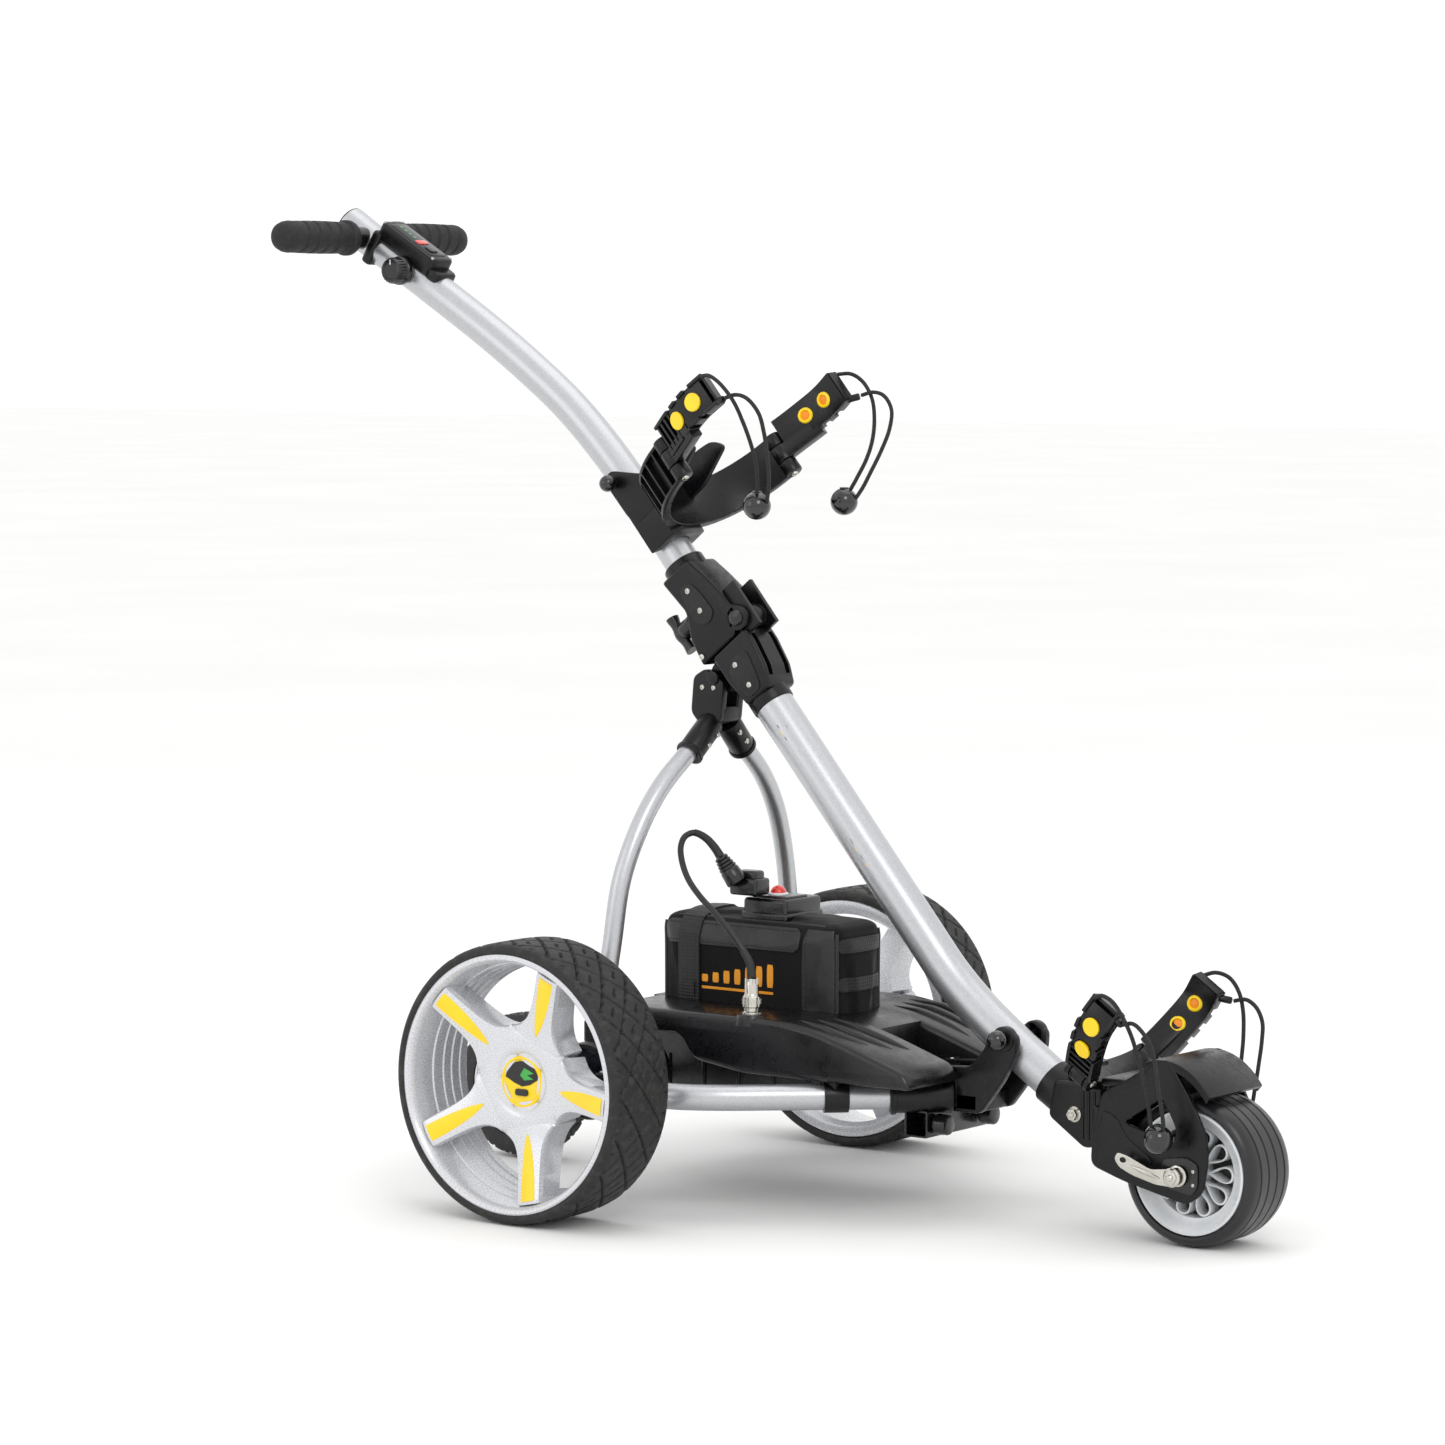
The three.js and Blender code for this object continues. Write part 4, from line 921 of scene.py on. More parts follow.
@dataclass
class BatteryLead:
    """The lead from the round connector on the tray to the plug in the battery's socket box."""

    route: tuple[Triple, ...] = (
        (-100, -124, 214), (-100, -122, 226), (-101, -113, 240), (-102, -100, 255), (-102, -84, 270),
        (-101, -66, 284), (-98, -50, 299), (-94, -40, 314), (-88, -34, 327), (-80, -33, 336), (-71, -37, 339),
        (-62, -43, 334), (-56, -49, 325), (-53, -55, 315))
    radius: float = 2.9
    length_m: float = 0.21

    def build(self) -> None:
        """Makes the cord, its two heat-shrunk sleeves, its plug and its connector."""
        line = smooth_path([Vector(p) for p in self.route], 110)
        cord = emit("battery_lead_cord", sweep(line, self.radius, 16), "frame", "lead", ["battery_lead"])
        sleeve_low = sweep(line[:15], lambda share: 4.4 - 1.0 * share, 16)
        sleeve_high = sweep(line[-20:], lambda share: 3.3 + 1.0 * share, 16)
        relief = emit("lead_sleeves", sleeve_low.add(sleeve_high), "frame", "sleeve")
        plug = self.plug(line[-1])
        connector = self.connector(line[0])
        path = [tuple(TO_FRAME @ p) for p in line]
        path[0]

    def plug(self, end: Vector) -> bpy.types.Object:
        """The wedge-shaped plug with its ridged collar and its socket end."""
        ahead = Vector((3, -6, -10)).normalized()
        place = facing(end - ahead * 2, ahead)
        ridges: list[Pair] = [(0, 0), (4.6, 0)]
        for i in range(4):
            r, z = 6.6 + i * 0.7, i * 3.4
            ridges += [(r, z + 1.5), (r, z + 3.4), (r - 0.7, z + 3.9)]
        ridges += [(9.2, 16), (9.8, 27), (9.2, 29), (0, 29)]
        form = lathe(ridges, place, 28)
        form.add(box((-43.5, -87.5, 280), (-19.5, -56.5, 296), 3.0, 3))
        form.add(box((-40, -84, 293), (-23, -60, 303), 3.0, 3))
        return emit("lead_plug_moulded", form, "frame", "smooth_nylon", ["lead_plug"])

    def connector(self, start: Vector) -> bpy.types.Object:
        """The nickel aviation connector: knurled nuts, a slotted body and a notched crown."""
        x, y = start.x, start.y
        place = Matrix.Translation((x, y, 0))
        profile = [(0, 174.5), (7.4, 174.5), (8.6, 176), (8.6, 182), (7.2, 183), (7.2, 186), (8.5, 187),
                   (8.5, 196), (7.4, 197), (6.4, 199), (6.4, 207), (5.6, 208.5), (5.2, 212.6), (4.2, 213),
                   (0, 213)]
        form = lathe(profile, place, 36)
        rib = box((-0.35, 8.2, -2.4), (0.35, 8.85, 2.4), 0.1, 1)
        for height in (179, 191.5):
            places = Matrix.Translation((x, y, height)) @ Matrix.Rotation(math.pi / 2, 4, "Y")
            turned = Form().add(rib).moved(Matrix.Rotation(-math.pi / 2, 4, "Y"))
            repeated(f"connector_knurl_{int(height)}", Repeat.AROUND, turned, "nickel", "frame", count=32,
                     centre=places)
        for i in range(6):
            tooth = box((-1.6, 3.6, 206), (1.6, 6.2, 213), 0.3, 1)
            form.add(tooth.moved(place @ Matrix.Rotation(math.tau * i / 6, 4, "Z")))
        return emit("lead_connector_nickel", form, "frame", "nickel", ["lead_connector"])


# ---------------------------------------------------------------- screws
def screw_shape(radius: float = 3.0, height: float = 1.6) -> Form:
    """A domed cross-head screw, its head rising along local Z."""
    profile = [(0, -1), (radius, -1), (radius, 0), (radius * 0.93, height * 0.45),
               (radius * 0.7, height * 0.8), (radius * 0.35, height), (0, height)]
    head = lathe(profile, Matrix.Identity(4), 20)
    long, wide = radius * 0.55, radius * 0.13
    slots = [box((-u, -v, height * 0.5), (u, v, height + 1), 0.05, 1) for u,
             v in ((long, wide), (wide, long))]
    return carve(head, *slots)


def screws(name: str, body: str, places: Sequence[tuple[Vector, Vector]], radius: float = 3.0,
           finish: str = "nickel") -> bpy.types.Object:
    """Screws at points, each facing along its own direction."""
    frames = [facing(point, direction) for point, direction in places]
    return repeated(name, Repeat.AT_POINTS, screw_shape(radius, radius * 0.5), finish, body, places=frames)


def hex_nut(origin: Vector, direction: Vector, radius: float, height: float) -> Form:
    """A flanged hexagon nut with a domed end."""
    place = facing(origin, direction)
    outline = [(radius * math.cos(math.pi * i / 3), radius * math.sin(math.pi * i / 3)) for i in range(6)]
    form = prism(outline, 0.5, height, place, 0.6)
    flange = [(0, 0), (radius * 1.28, 0), (radius * 1.28, 0.6), (radius * 1.05, 1.6), (0, 1.6)]
    form.add(lathe(flange, place, 32))
    tip = radius * 0.5
    form.add(lathe([(0, height - 1), (tip, height - 1), (tip, height + 1.4), (tip * 0.7, height + 2.2),
                    (0, height + 2.4)], place, 20))
    return form


# ---------------------------------------------------------------- tubes
@dataclass
class Tubes:
    """The lacquered tubes: the two main tubes, the wishbone legs and the chassis tubes."""

    lower_radius: float = 19.0
    upper_radius: float = 17.0
    leg_radius: float = 9.0
    chassis_radius: float = 12.0
    leg: tuple[Triple, ...] = (
        (-27, -12, 424.5), (-34, -11, 418), (-79.6, -6, 382), (-108, -2, 346), (-130, 3, 297), (-141, 5, 242),
        (-149, 6, 200), (-152, 6, 154))
    chassis: tuple[Triple, ...] = (
        (-30, -288, 111), (-78, -232, 111), (-126, -176, 111), (-166, -126, 111), (-181, -94, 111),
        (-184, -52, 111))
    upper: tuple[Pair, ...] = (
        (26, 581), (68, 632), (112, 682), (161, 729), (210, 766), (262, 801), (337, 847), (414, 893),
        (438, 908))

    def build(self) -> None:
        """Makes every tube."""
        emit("lower_tube_lacquered", sweep(self.lower_line(), self.lower_radius, 48), "frame", "tube_lacquer",
             ["lower_tube"])
        high = [on_tube(0, 36, 0), on_tube(0, 20, 0), *(Vector((0, y, z)) for y, z in self.upper)]
        emit("upper_tube_lacquered", sweep(smooth_path(high, 90), self.upper_radius, 48), "handle",
             "tube_lacquer", ["upper_tube"])
        for side in Side:
            for name, points, steps, radius, sides in (
                    ("wishbone", self.leg, 48, self.leg_radius, 32),
                    ("chassis", self.chassis, 40, self.chassis_radius, 36)):
                tube = sweep(smooth_path(on_side(points, side), steps), radius, sides)
                emit(f"{name}_{side.word}_lacquered", tube, "frame", "tube_lacquer",
                     [f"{name}_tube_{side.word}"])
        self.marks()

    def lower_line(self) -> list[Vector]:
        """The lower tube's centre line: straight, then a bend to the front clamp."""
        line = [on_tube(0, 132, 0), Vector((0, -200, 308.5))]
        bend = [(-262, 234), (-296, 192), (-345, 159), (-426, 105)]
        for i in range(41):
            t = i / 40
            weights = ((1 - t) ** 3, 3 * t * (1 - t) ** 2, 3 * t * t * (1 - t), t**3)
            y, z = (sum(w * p[axis] for w, p in zip(weights, bend)) for axis in (0, 1))
            line.append(Vector((0, y, z)))
        return line

    def marks(self) -> None:
        """Plain stripes and chevrons on the lower tube's right side, in black, yellow and green."""
        stripe = [(205.0, 0.0), (207.5, 0.9), (302.0, 0.9), (302.0, -0.9), (207.5, -0.9)]
        fine = [(222.0, -4.4), (302.0, -4.4), (302.0, -5.2), (222.0, -5.2)]
        emit("pinstripe_black", self.mark([stripe]), "frame", "black_mark")
        emit("pinstripe_green", self.mark([fine]), "frame", "green_mark")
        black = [[(182 + i * 7.0, -7.5), (188 + i * 7.0, 0.0), (182 + i * 7.0, 7.5), (186 + i * 7.0, 7.5),
                  (192 + i * 7.0, 0.0), (186 + i * 7.0, -7.5)] for i in (0, 2)]
        yellow = [[(u + 7.0, v) for u, v in black[0]]]
        tail = [[(310 + i * 9.0, -8.0), (313.5 + i * 9.0, 8.0), (318.5 + i * 9.0, 8.0), (315 + i * 9.0, -8.0)]
                for i in range(4)]
        emit("chevrons_black", self.mark(black + tail[0::2]), "frame", "black_mark")
        emit("chevrons_yellow", self.mark(yellow + tail[1::2]), "frame", "yellow")

    def mark(self, outlines: Sequence[Profile], facing_deg: float = 152.0, film: float = 0.12) -> Form:
        """Thin film patches wrapped round the lower tube.

        Args:
            outlines: each patch as (distance down the tube, distance round it) pairs.
            facing_deg: the middle of the patches, round the tube from its left side through its front.
            film: the film's thickness in millimetres.
        """
        form = Form()
        reach = self.lower_radius + film
        for outline in outlines:
            rows = []
            for u, v in filleted(outline, 0.4, 2):
                angle = math.radians(facing_deg) + v / self.lower_radius
                rows.append([on_tube(0, u, 0) + Vector((1, 0, 0)) * (math.cos(angle) * r)
                             + FRONT * (math.sin(angle) * r) for r in (reach - 1.0, reach)])
            inner = [form.mesh.verts.new(a) for a, _ in rows]
            outer = [form.mesh.verts.new(b) for _, b in rows]
            form.mesh.faces.new(outer)
            form.mesh.faces.new(list(reversed(inner)))
            for i in range(len(rows)):
                j = (i + 1) % len(rows)
                form.mesh.faces.new((inner[i], inner[j], outer[j], outer[i]))
        return form.outward()


# ---------------------------------------------------------------- folding hinge
@dataclass
class FoldingHinge:
    """The cast hinge in the main tube: two shells, a pin, a clamp knob and the Y connector behind it."""

    half_width: float = 22.0
    collar_radius: float = 20.5
    split: float = 90.0
    pin: Pair = (78.0, 30.0)
    y_pin: Pair = (104.0, -29.0)

    def build(self) -> None:
        """Makes every piece of the hinge."""
        self.upper_shell()
        self.lower_shell()
        self.pins()
        self.knob()
        self.connector()

    def knuckle(self, low: float, high: float, radius: float) -> Form:
        """A round knuckle on the fold pin."""
        down, front = self.pin
        return rounded_rod(on_tube(low, down, front), on_tube(high, down, front), radius, 1.0, 40)

    def collar(self, low: float, high: float) -> Form:
        """A round collar on the tube with a softened rim."""
        return rounded_rod(on_tube(0, low, 0), on_tube(0, high, 0), self.collar_radius, 1.6, 56)

    def pads(self, outlines: Sequence[Profile], name: str, body: str) -> None:
        """Raised textured pads on both cheeks."""
        form = Form()
        for outline in outlines:
            form.add(both_sides(filleted(outline, 7.0, 5), self.half_width - 1.0, self.half_width + 1.6, 0.7,
                                place=hinge_frame()))
        emit(name, form, body, "grip")

    def shaped(self, outline: Profile, slot: Sequence[float], half_slot: float) -> Form:
        """A shell block with well-rounded long edges and a slot let into its front on each side.

        Args:
            outline: the block's outline as (down, front) pairs.
            slot: the slot's first and last distance down, and its depth's lower edge.
            half_slot: half the slot's width.
        """
        first, last, floor = slot
        block = prism(filleted(outline, 4.0, 4), -self.half_width, self.half_width, hinge_frame(), 3.2)
        cut = [(first, floor), (first, 45), (last, 45), (last, floor)]
        slots = [prism(cut, x - half_slot, x + half_slot, hinge_frame(), 0.4) for x in (-13.5, 13.5)]
        return carve(block, *slots)

    def cheek_screws(self, name: str, body: str, spots: Sequence[Pair]) -> None:
        """Screws in both cheeks at (down, front) spots."""
        reach = self.half_width + 1.4
        screws(name, body, [(on_tube(x * reach, u, v), Vector((x, 0, 0))) for u, v in spots for x in (-1, 1)])

    def upper_shell(self) -> None:
        """The handle's half: collar, body, front ribs with a slot between, and the middle knuckle."""
        outline = [(0, -19), (0, 19), (25, 26), (49, 31), (63, 31), (68, 38), (89.7, 17), (89.7, -30),
                   (62, -26), (38, -14)]
        form = self.shaped(outline, (46, 95, 22), 2.6)
        form.add(self.collar(-8, 20))
        form.add(self.knuckle(-8, 8, 12))
        emit("hinge_upper_shell_moulded", form, "handle", "casting", ["hinge_upper_shell"])
        self.pads([[(17, -6), (19, 8), (33, 12), (58, 14), (64, 2), (56, -10), (36, -9)]],
                  "hinge_upper_pads", "handle")
        self.cheek_screws("hinge_upper_screws", "handle", [(25, 2), (48, 2), (83, -24)])

    def lower_shell(self) -> None:
        """The frame's half: body, collar, fork ears round the knuckle and the lug for the Y connector."""
        top = self.split + 0.3
        outline = [(top, -17), (top, 31), (105, 31), (132, 27), (150, 19), (150, -12), (120, -17)]
        form = self.shaped(outline, (97, 140, 21), 3.2)
        form.add(self.collar(136, 160))
        form.add(self.knuckle(-22, -8.6, 12)).add(self.knuckle(8.6, 22, 12))
        lug = [(top, -30), (top, -10), (126, -10), (122, -30), (112, -40), (98, -40)]
        form.add(prism(filleted(lug, 5, 4), -8, 8, hinge_frame(), 1.2))
        emit("hinge_lower_shell_moulded", form, "frame", "casting", ["hinge_lower_shell"])
        self.pads([[(104, 10), (108, 20), (128, 17), (146, 12), (146, -6), (128, -10), (110, -8)]],
                  "hinge_lower_pads", "frame")
        self.cheek_screws("hinge_lower_screws", "frame", [(112, 2), (136, 3)])

    def pins(self) -> None:
        """The fold pin with its two domed heads."""
        down, front = self.pin
        form = rounded_rod(on_tube(-23, down, front), on_tube(23, down, front), 4.0)
        for x in (-1, 1):
            head = facing(on_tube(x * 22, down, front), Vector((x, 0, 0)))
            form.add(lathe([(0, 0), (7.5, 0), (7.5, 1.2), (6.6, 2.6), (3.4, 3.7), (0, 4.0)], head, 32))
        emit("hinge_pin_steel", form, "frame", "smooth_nylon", ["hinge_pin"])

    def knob(self) -> None:
        """The clamp knob behind the hinge: a hub and a ribbed bar to turn it by."""
        back = -FRONT
        form = rounded_rod(on_tube(0, 43, -13), on_tube(0, 43, -40), 4.0)
        hub = facing(on_tube(0, 43, -24), back)
        form.add(lathe([(0, 0), (8, 0), (9, 1.2), (9, 13), (8.2, 16), (5, 19.4), (0, 20)], hub, 36))
        bar = [on_tube(0, 24 + 38 * t / 12, -43 - 1.2 * math.sin(math.pi * t / 12)) for t in range(13)]
        form.add(sweep(bar, lambda share: 5.0 + 1.5 * math.cos(math.tau * share) ** 2, 20))
        emit("hinge_knob_moulded", form, "hinge_clamp_knob", "smooth_nylon", ["hinge_knob"])

    def connector(self) -> None:
        """The Y connector: a fork on the hinge's lug and a sleeve on each wishbone leg."""
        outline = [(-31, 476), (-10, 488), (4, 480), (7, 446), (-6, 432), (-27, 437)]
        form = both_sides(filleted(outline, 5, 4), 8.5, 18, 1.8)
        foot = [(-29, 452), (5, 455), (7, 446), (-6, 432), (-27, 437)]
        form.add(prism(filleted(foot, 4, 4), -12, 12, across(0, 0), 1.4))
        for x in (-1, 1):
            form.add(rounded_rod(Vector((x * 12, -13.5, 437)), Vector((x * 43, -10, 409)), 12.5, 2.0, 40))
            rim = facing(Vector((x * 40, -10.3, 411.7)), Vector((x * 31, 3.5, -28)))
            form.add(lathe([(10, 0), (13.2, 0), (13.6, 1), (13.6, 3.6), (13.0, 4.4), (10, 4.4)], rim, 40))
        down, front = self.y_pin
        form.add(rounded_rod(on_tube(-20.5, down, front), on_tube(20.5, down, front), 6.5, 1.2, 24))
        emit("y_connector_moulded", form, "frame", "casting", ["y_connector"])
        away = Vector((0, -1, 0.1))
        spots = [(Vector((x * u, y, z)), away) for u, y, z in ((30, -24.2, 417), (17.5, -25.2, 426))
                 for x in (-1, 1)]
        spots += [(Vector((x * 18.2, y, 470)), Vector((x, 0, 0))) for y in (-7, -20) for x in (-1, 1)]
        screws("y_connector_screws", "frame", spots, 2.6)


# ---------------------------------------------------------------- wheels
def diamond_depth(round_mm: float, across_mm: float, pitch: float, slant: float, width: float) -> float:
    """How deep the diamond tread's grooves are at a place, from 0 to 1.

    Args:
        round_mm: the distance round the tyre.
        across_mm: the distance across the crown.
        pitch: the distance round the tyre from one diamond to the next.
        slant: the slope of the grooves.
        width: the grooves' width.
    """
    def groove(value: float, w: float) -> float:
        away = abs((value + pitch / 2) % pitch - pitch / 2)
        return min(max((w - away) / (w * 0.45), 0.0), 1.0)

    one = round_mm + slant * across_mm
    other = round_mm - slant * across_mm
    main = max(groove(one, width), groove(other, width))
    from_other = abs((other + pitch / 2) % pitch - pitch / 2)
    short = groove(one + pitch / 2, width * 0.7) if from_other > pitch * 0.27 else 0.0
    return max(main, short)


def treaded_tyre(profile: Profile, place: Matrix, radius: float, half_crown: float, diamonds: int, steps: int,
                 slant: float, width: float, depth: float) -> Form:
    """A tyre whose crown has crossing grooves cut into it.

    Args:
        profile: the closed section as (radius, across) pairs.
        place: takes the wheel's axis to its place.
        radius: the crown's radius.
        half_crown: grooves fade out past this distance from the middle.
        diamonds: the number of diamonds round the tyre.
        steps: the mesh steps to a diamond.
        slant: the slope of the grooves.
        width: the grooves' half width.
        depth: the grooves' depth.
    """
    pitch = math.tau * radius / diamonds

    def cut(co: Vector) -> Vector:
        reach = math.hypot(co.x, co.y)
        if reach < radius - 9:
            return co
        fade = min(max((half_crown + 3 - abs(co.z)) / 3, 0.0), 1.0)
        turn = math.atan2(co.y, co.x) % math.tau
        dip = depth * fade * diamond_depth(turn * radius, co.z, pitch, slant, width)
        scale = (reach - dip) / reach
        return Vector((co.x * scale, co.y * scale, co.z))

    return lathe(profile, Matrix.Identity(4), diamonds * steps).bent(cut).moved(place)


@dataclass
class RearWheel:
    """A driven wheel: treaded tyre, five-spoke rim with yellow inserts, hub cap and release button."""

    centre_x: float = 267.5
    axle_z: float = 128.0
    radius: float = 128.0
    half_width: float = 40.0
    bead_radius: float = 118.0
    spokes: int = 5
    first_spoke_deg: float = 24.0
    valley_radius: float = 43.0
    spoke_half_width: float = 13.8
    crown: float = 2.2

    def build(self, side: Side) -> None:
        """Makes the wheel of one side."""
        body = f"rear_wheel_{side.word}"
        outward = Vector((side.value, 0, 0))
        place = facing(Vector((side.value * self.centre_x, 0, self.axle_z)), outward)
        emit(f"rear_tyre_{side.word}_treaded", self.tyre(place), body, "rear_tyre",
             [f"rear_tyre_{side.word}"], 50)
        emit(f"rear_rim_{side.word}_barrel", self.barrel(place), body, "rim_paint", [f"rear_rim_{side.word}"])
        ring = Matrix.Translation((side.value * self.centre_x, 0, self.axle_z))
        ring = ring @ Matrix.Rotation(math.radians(self.first_spoke_deg), 4, "X")
        for name, shape, finish in (("spokes", self.spoke(), "rim_paint"),
                                    ("inserts", self.insert(), "yellow")):
            shape.moved(Matrix.Diagonal((side.value, 1, 1, 1))).outward()
            repeated(f"rear_rim_{side.word}_{name}", Repeat.AROUND, shape, finish, body, count=self.spokes,
                     centre=ring)
        self.hub(side, body, place)

    def tyre(self, place: Matrix) -> Form:
        """The tyre: smooth sidewall bands, rounded shoulders and a diamond tread."""
        crown = self.half_width - 9
        profile: list[Pair] = [(self.bead_radius - 1, -33), (self.bead_radius, -38.6), (120, -39.7),
                               (122.5, -39.8), (125.2, -38.4), (126.8, -35)]
        steps = int(2 * crown / 1.3)
        profile += [(self.radius - 0.7 * abs(2 * i / steps - 1) ** 3, -crown + 2 * crown * i / steps)
                    for i in range(steps + 1)]
        profile += [(r, -x) for r, x in reversed(profile[:6])]
        return treaded_tyre(profile, place, self.radius, 33, 21, 30, 1.12, 2.0, 2.4)

    def barrel(self, place: Matrix) -> Form:
        """The rim's lip and stepped barrel."""
        profile = [(117.6, 36), (117.8, 39), (116.4, 39.9), (113.6, 39.4), (111.4, 37), (109.8, 31),
                   (108.6, 10), (107.2, 9), (107, -3), (105.8, -4), (105.6, -13), (104.4, -14),
                   (104.2, -23), (103, -24), (103, -32), (107, -37.6), (112, -39.4), (116.6, -39.4),
                   (117.6, -36)]
        form = lathe(profile, place, 144)
        hub = [(0, -28), (24, -28), (30, -24), (34, -10), (34, 6), (30, 9), (0, 9)]
        return form.add(lathe(hub, place, 72))

    def width_at(self, reach: float) -> float:
        """Half the spoke's width at a distance from the axle."""
        flare = 17.4 * math.exp(-max(reach - self.valley_radius, 0) / 10)
        return min(reach * math.tan(math.pi / self.spokes), self.spoke_half_width + flare)

    def face_at(self, reach: float) -> float:
        """The spoke's face, outward from the wheel's middle, at a distance from the axle."""
        share = min(max((reach - 26) / 80, 0), 1)
        return 13 + 20 * share**1.3

    def spoke(self) -> Form:
        """One spoke along local Z, outward along local X, with a crowned face and deep sides."""
        rows = []
        for i in range(33):
            reach = 18 + (109 - 18) * i / 32
            half = self.width_at(reach)
            face = self.face_at(reach)
            deep = face - 30 - 6 * (1 - i / 32)
            round_in = min(3.0, half * 0.3)
            section = [(deep, -half + 2.5), (face - 3.5, -half), (face - 1.0, -half + round_in * 0.4)]
            section += [(face + self.crown * (1 - (y / half) ** 2), y)
                        for y in (half * k / 4 * 0.88 for k in range(-4, 5))]
            section += [(face - 1.0, half - round_in * 0.4), (face - 3.5, half), (deep, half - 2.5)]
            rows.append([Vector((x, y, reach)) for x, y in section])
        return loft(rows)

    def insert(self) -> Form:
        """One yellow leaf let into a spoke's face: pointed at the hub and square at the rim."""
        rows = []
        start, end = 47.0, 106.0
        for i in range(21):
            t = i / 20
            reach = start + (end - start) * t
            half = 7.6 * (1 - (1 - t) ** 2.2) ** 0.75 + 0.25
            width = self.width_at(reach)
            face = self.face_at(reach)
            tops = [(face + self.crown * (1 - (y / width) ** 2) + 0.7 - 0.5 * abs(y / half) ** 4, y)
                    for y in (half * k / 3 for k in range(-3, 4))]
            section = [(face - 1.5, -half)] + tops + [(face - 1.5, half)]
            rows.append([Vector((x, y, reach)) for x, y in section])
        return loft(rows)

    def hub(self, side: Side, body: str, place: Matrix) -> None:
        """The cap with its raised rim, a plain dark label, and the release button."""
        skirt = [(0, 2), (50, 2), (52.6, 8), (53, 11.5), (51, 14.4), (46, 16.2), (39, 17.3), (33, 17.6),
                 (28.5, 16.4), (26, 14.2), (24.8, 12.8), (0, 12.8)]
        emit(f"hub_skirt_{side.word}", lathe(skirt, place, 80), body, "rim_paint")
        cap = [(0, 11), (23.6, 11), (23.9, 13.4), (22.9, 15.2), (21.2, 15.6), (20.4, 14.4), (19.4, 13.9),
               (0, 14.3)]
        emit(f"hub_cap_{side.word}", lathe(cap, place, 80), body, "yellow")
        turn = side.value
        chord = [(-17.6, 3.0)]
        chord += [(18.9 * math.cos(a), 18.9 * math.sin(a)) for a in
                  (math.radians(171 - 162 * i / 24) for i in range(25))]
        chord += [(17.6, 3.0), (9, -2.2), (0, -4.2), (-9, -1.2)]
        label_frame = basis(Vector((0, turn, 0)), Vector((0, 0, 1)), Vector((turn, 0, 0)),
                            Vector((turn * self.centre_x, 0, self.axle_z)))
        emit(f"hub_label_{side.word}", prism(chord, 13.8, 14.7, label_frame, 0.15), body, "black_mark")
        wedge = [(-2, 6), (3, 13), (14, 8.6), (6, 6.6), (13.4, 3.4), (3, 1.6)]
        emit(f"hub_label_mark_{side.word}", prism(wedge, 14.5, 14.85, label_frame, 0.08), body, "green_mark")
        pill = filleted([(-7, -6.4), (7, -6.4), (7, -12.6), (-7, -12.6)], 3.0, 5)
        emit(f"hub_button_{side.word}", prism(pill, 13.6, 16.2, label_frame, 0.6), body, "smooth_nylon")


@dataclass
class SmallWheel:
    """A plain-bearing wheel on a fixed axle, with its sizes in millimetres."""

    y: float
    z: float
    radius: float
    width: float
    rim_radius: float

    def place(self) -> Matrix:
        """The wheel's own frame: its axis along local Z, pointing to the trolley's right."""
        return facing(Vector((0, self.y, self.z)), Vector((-1, 0, 0)))


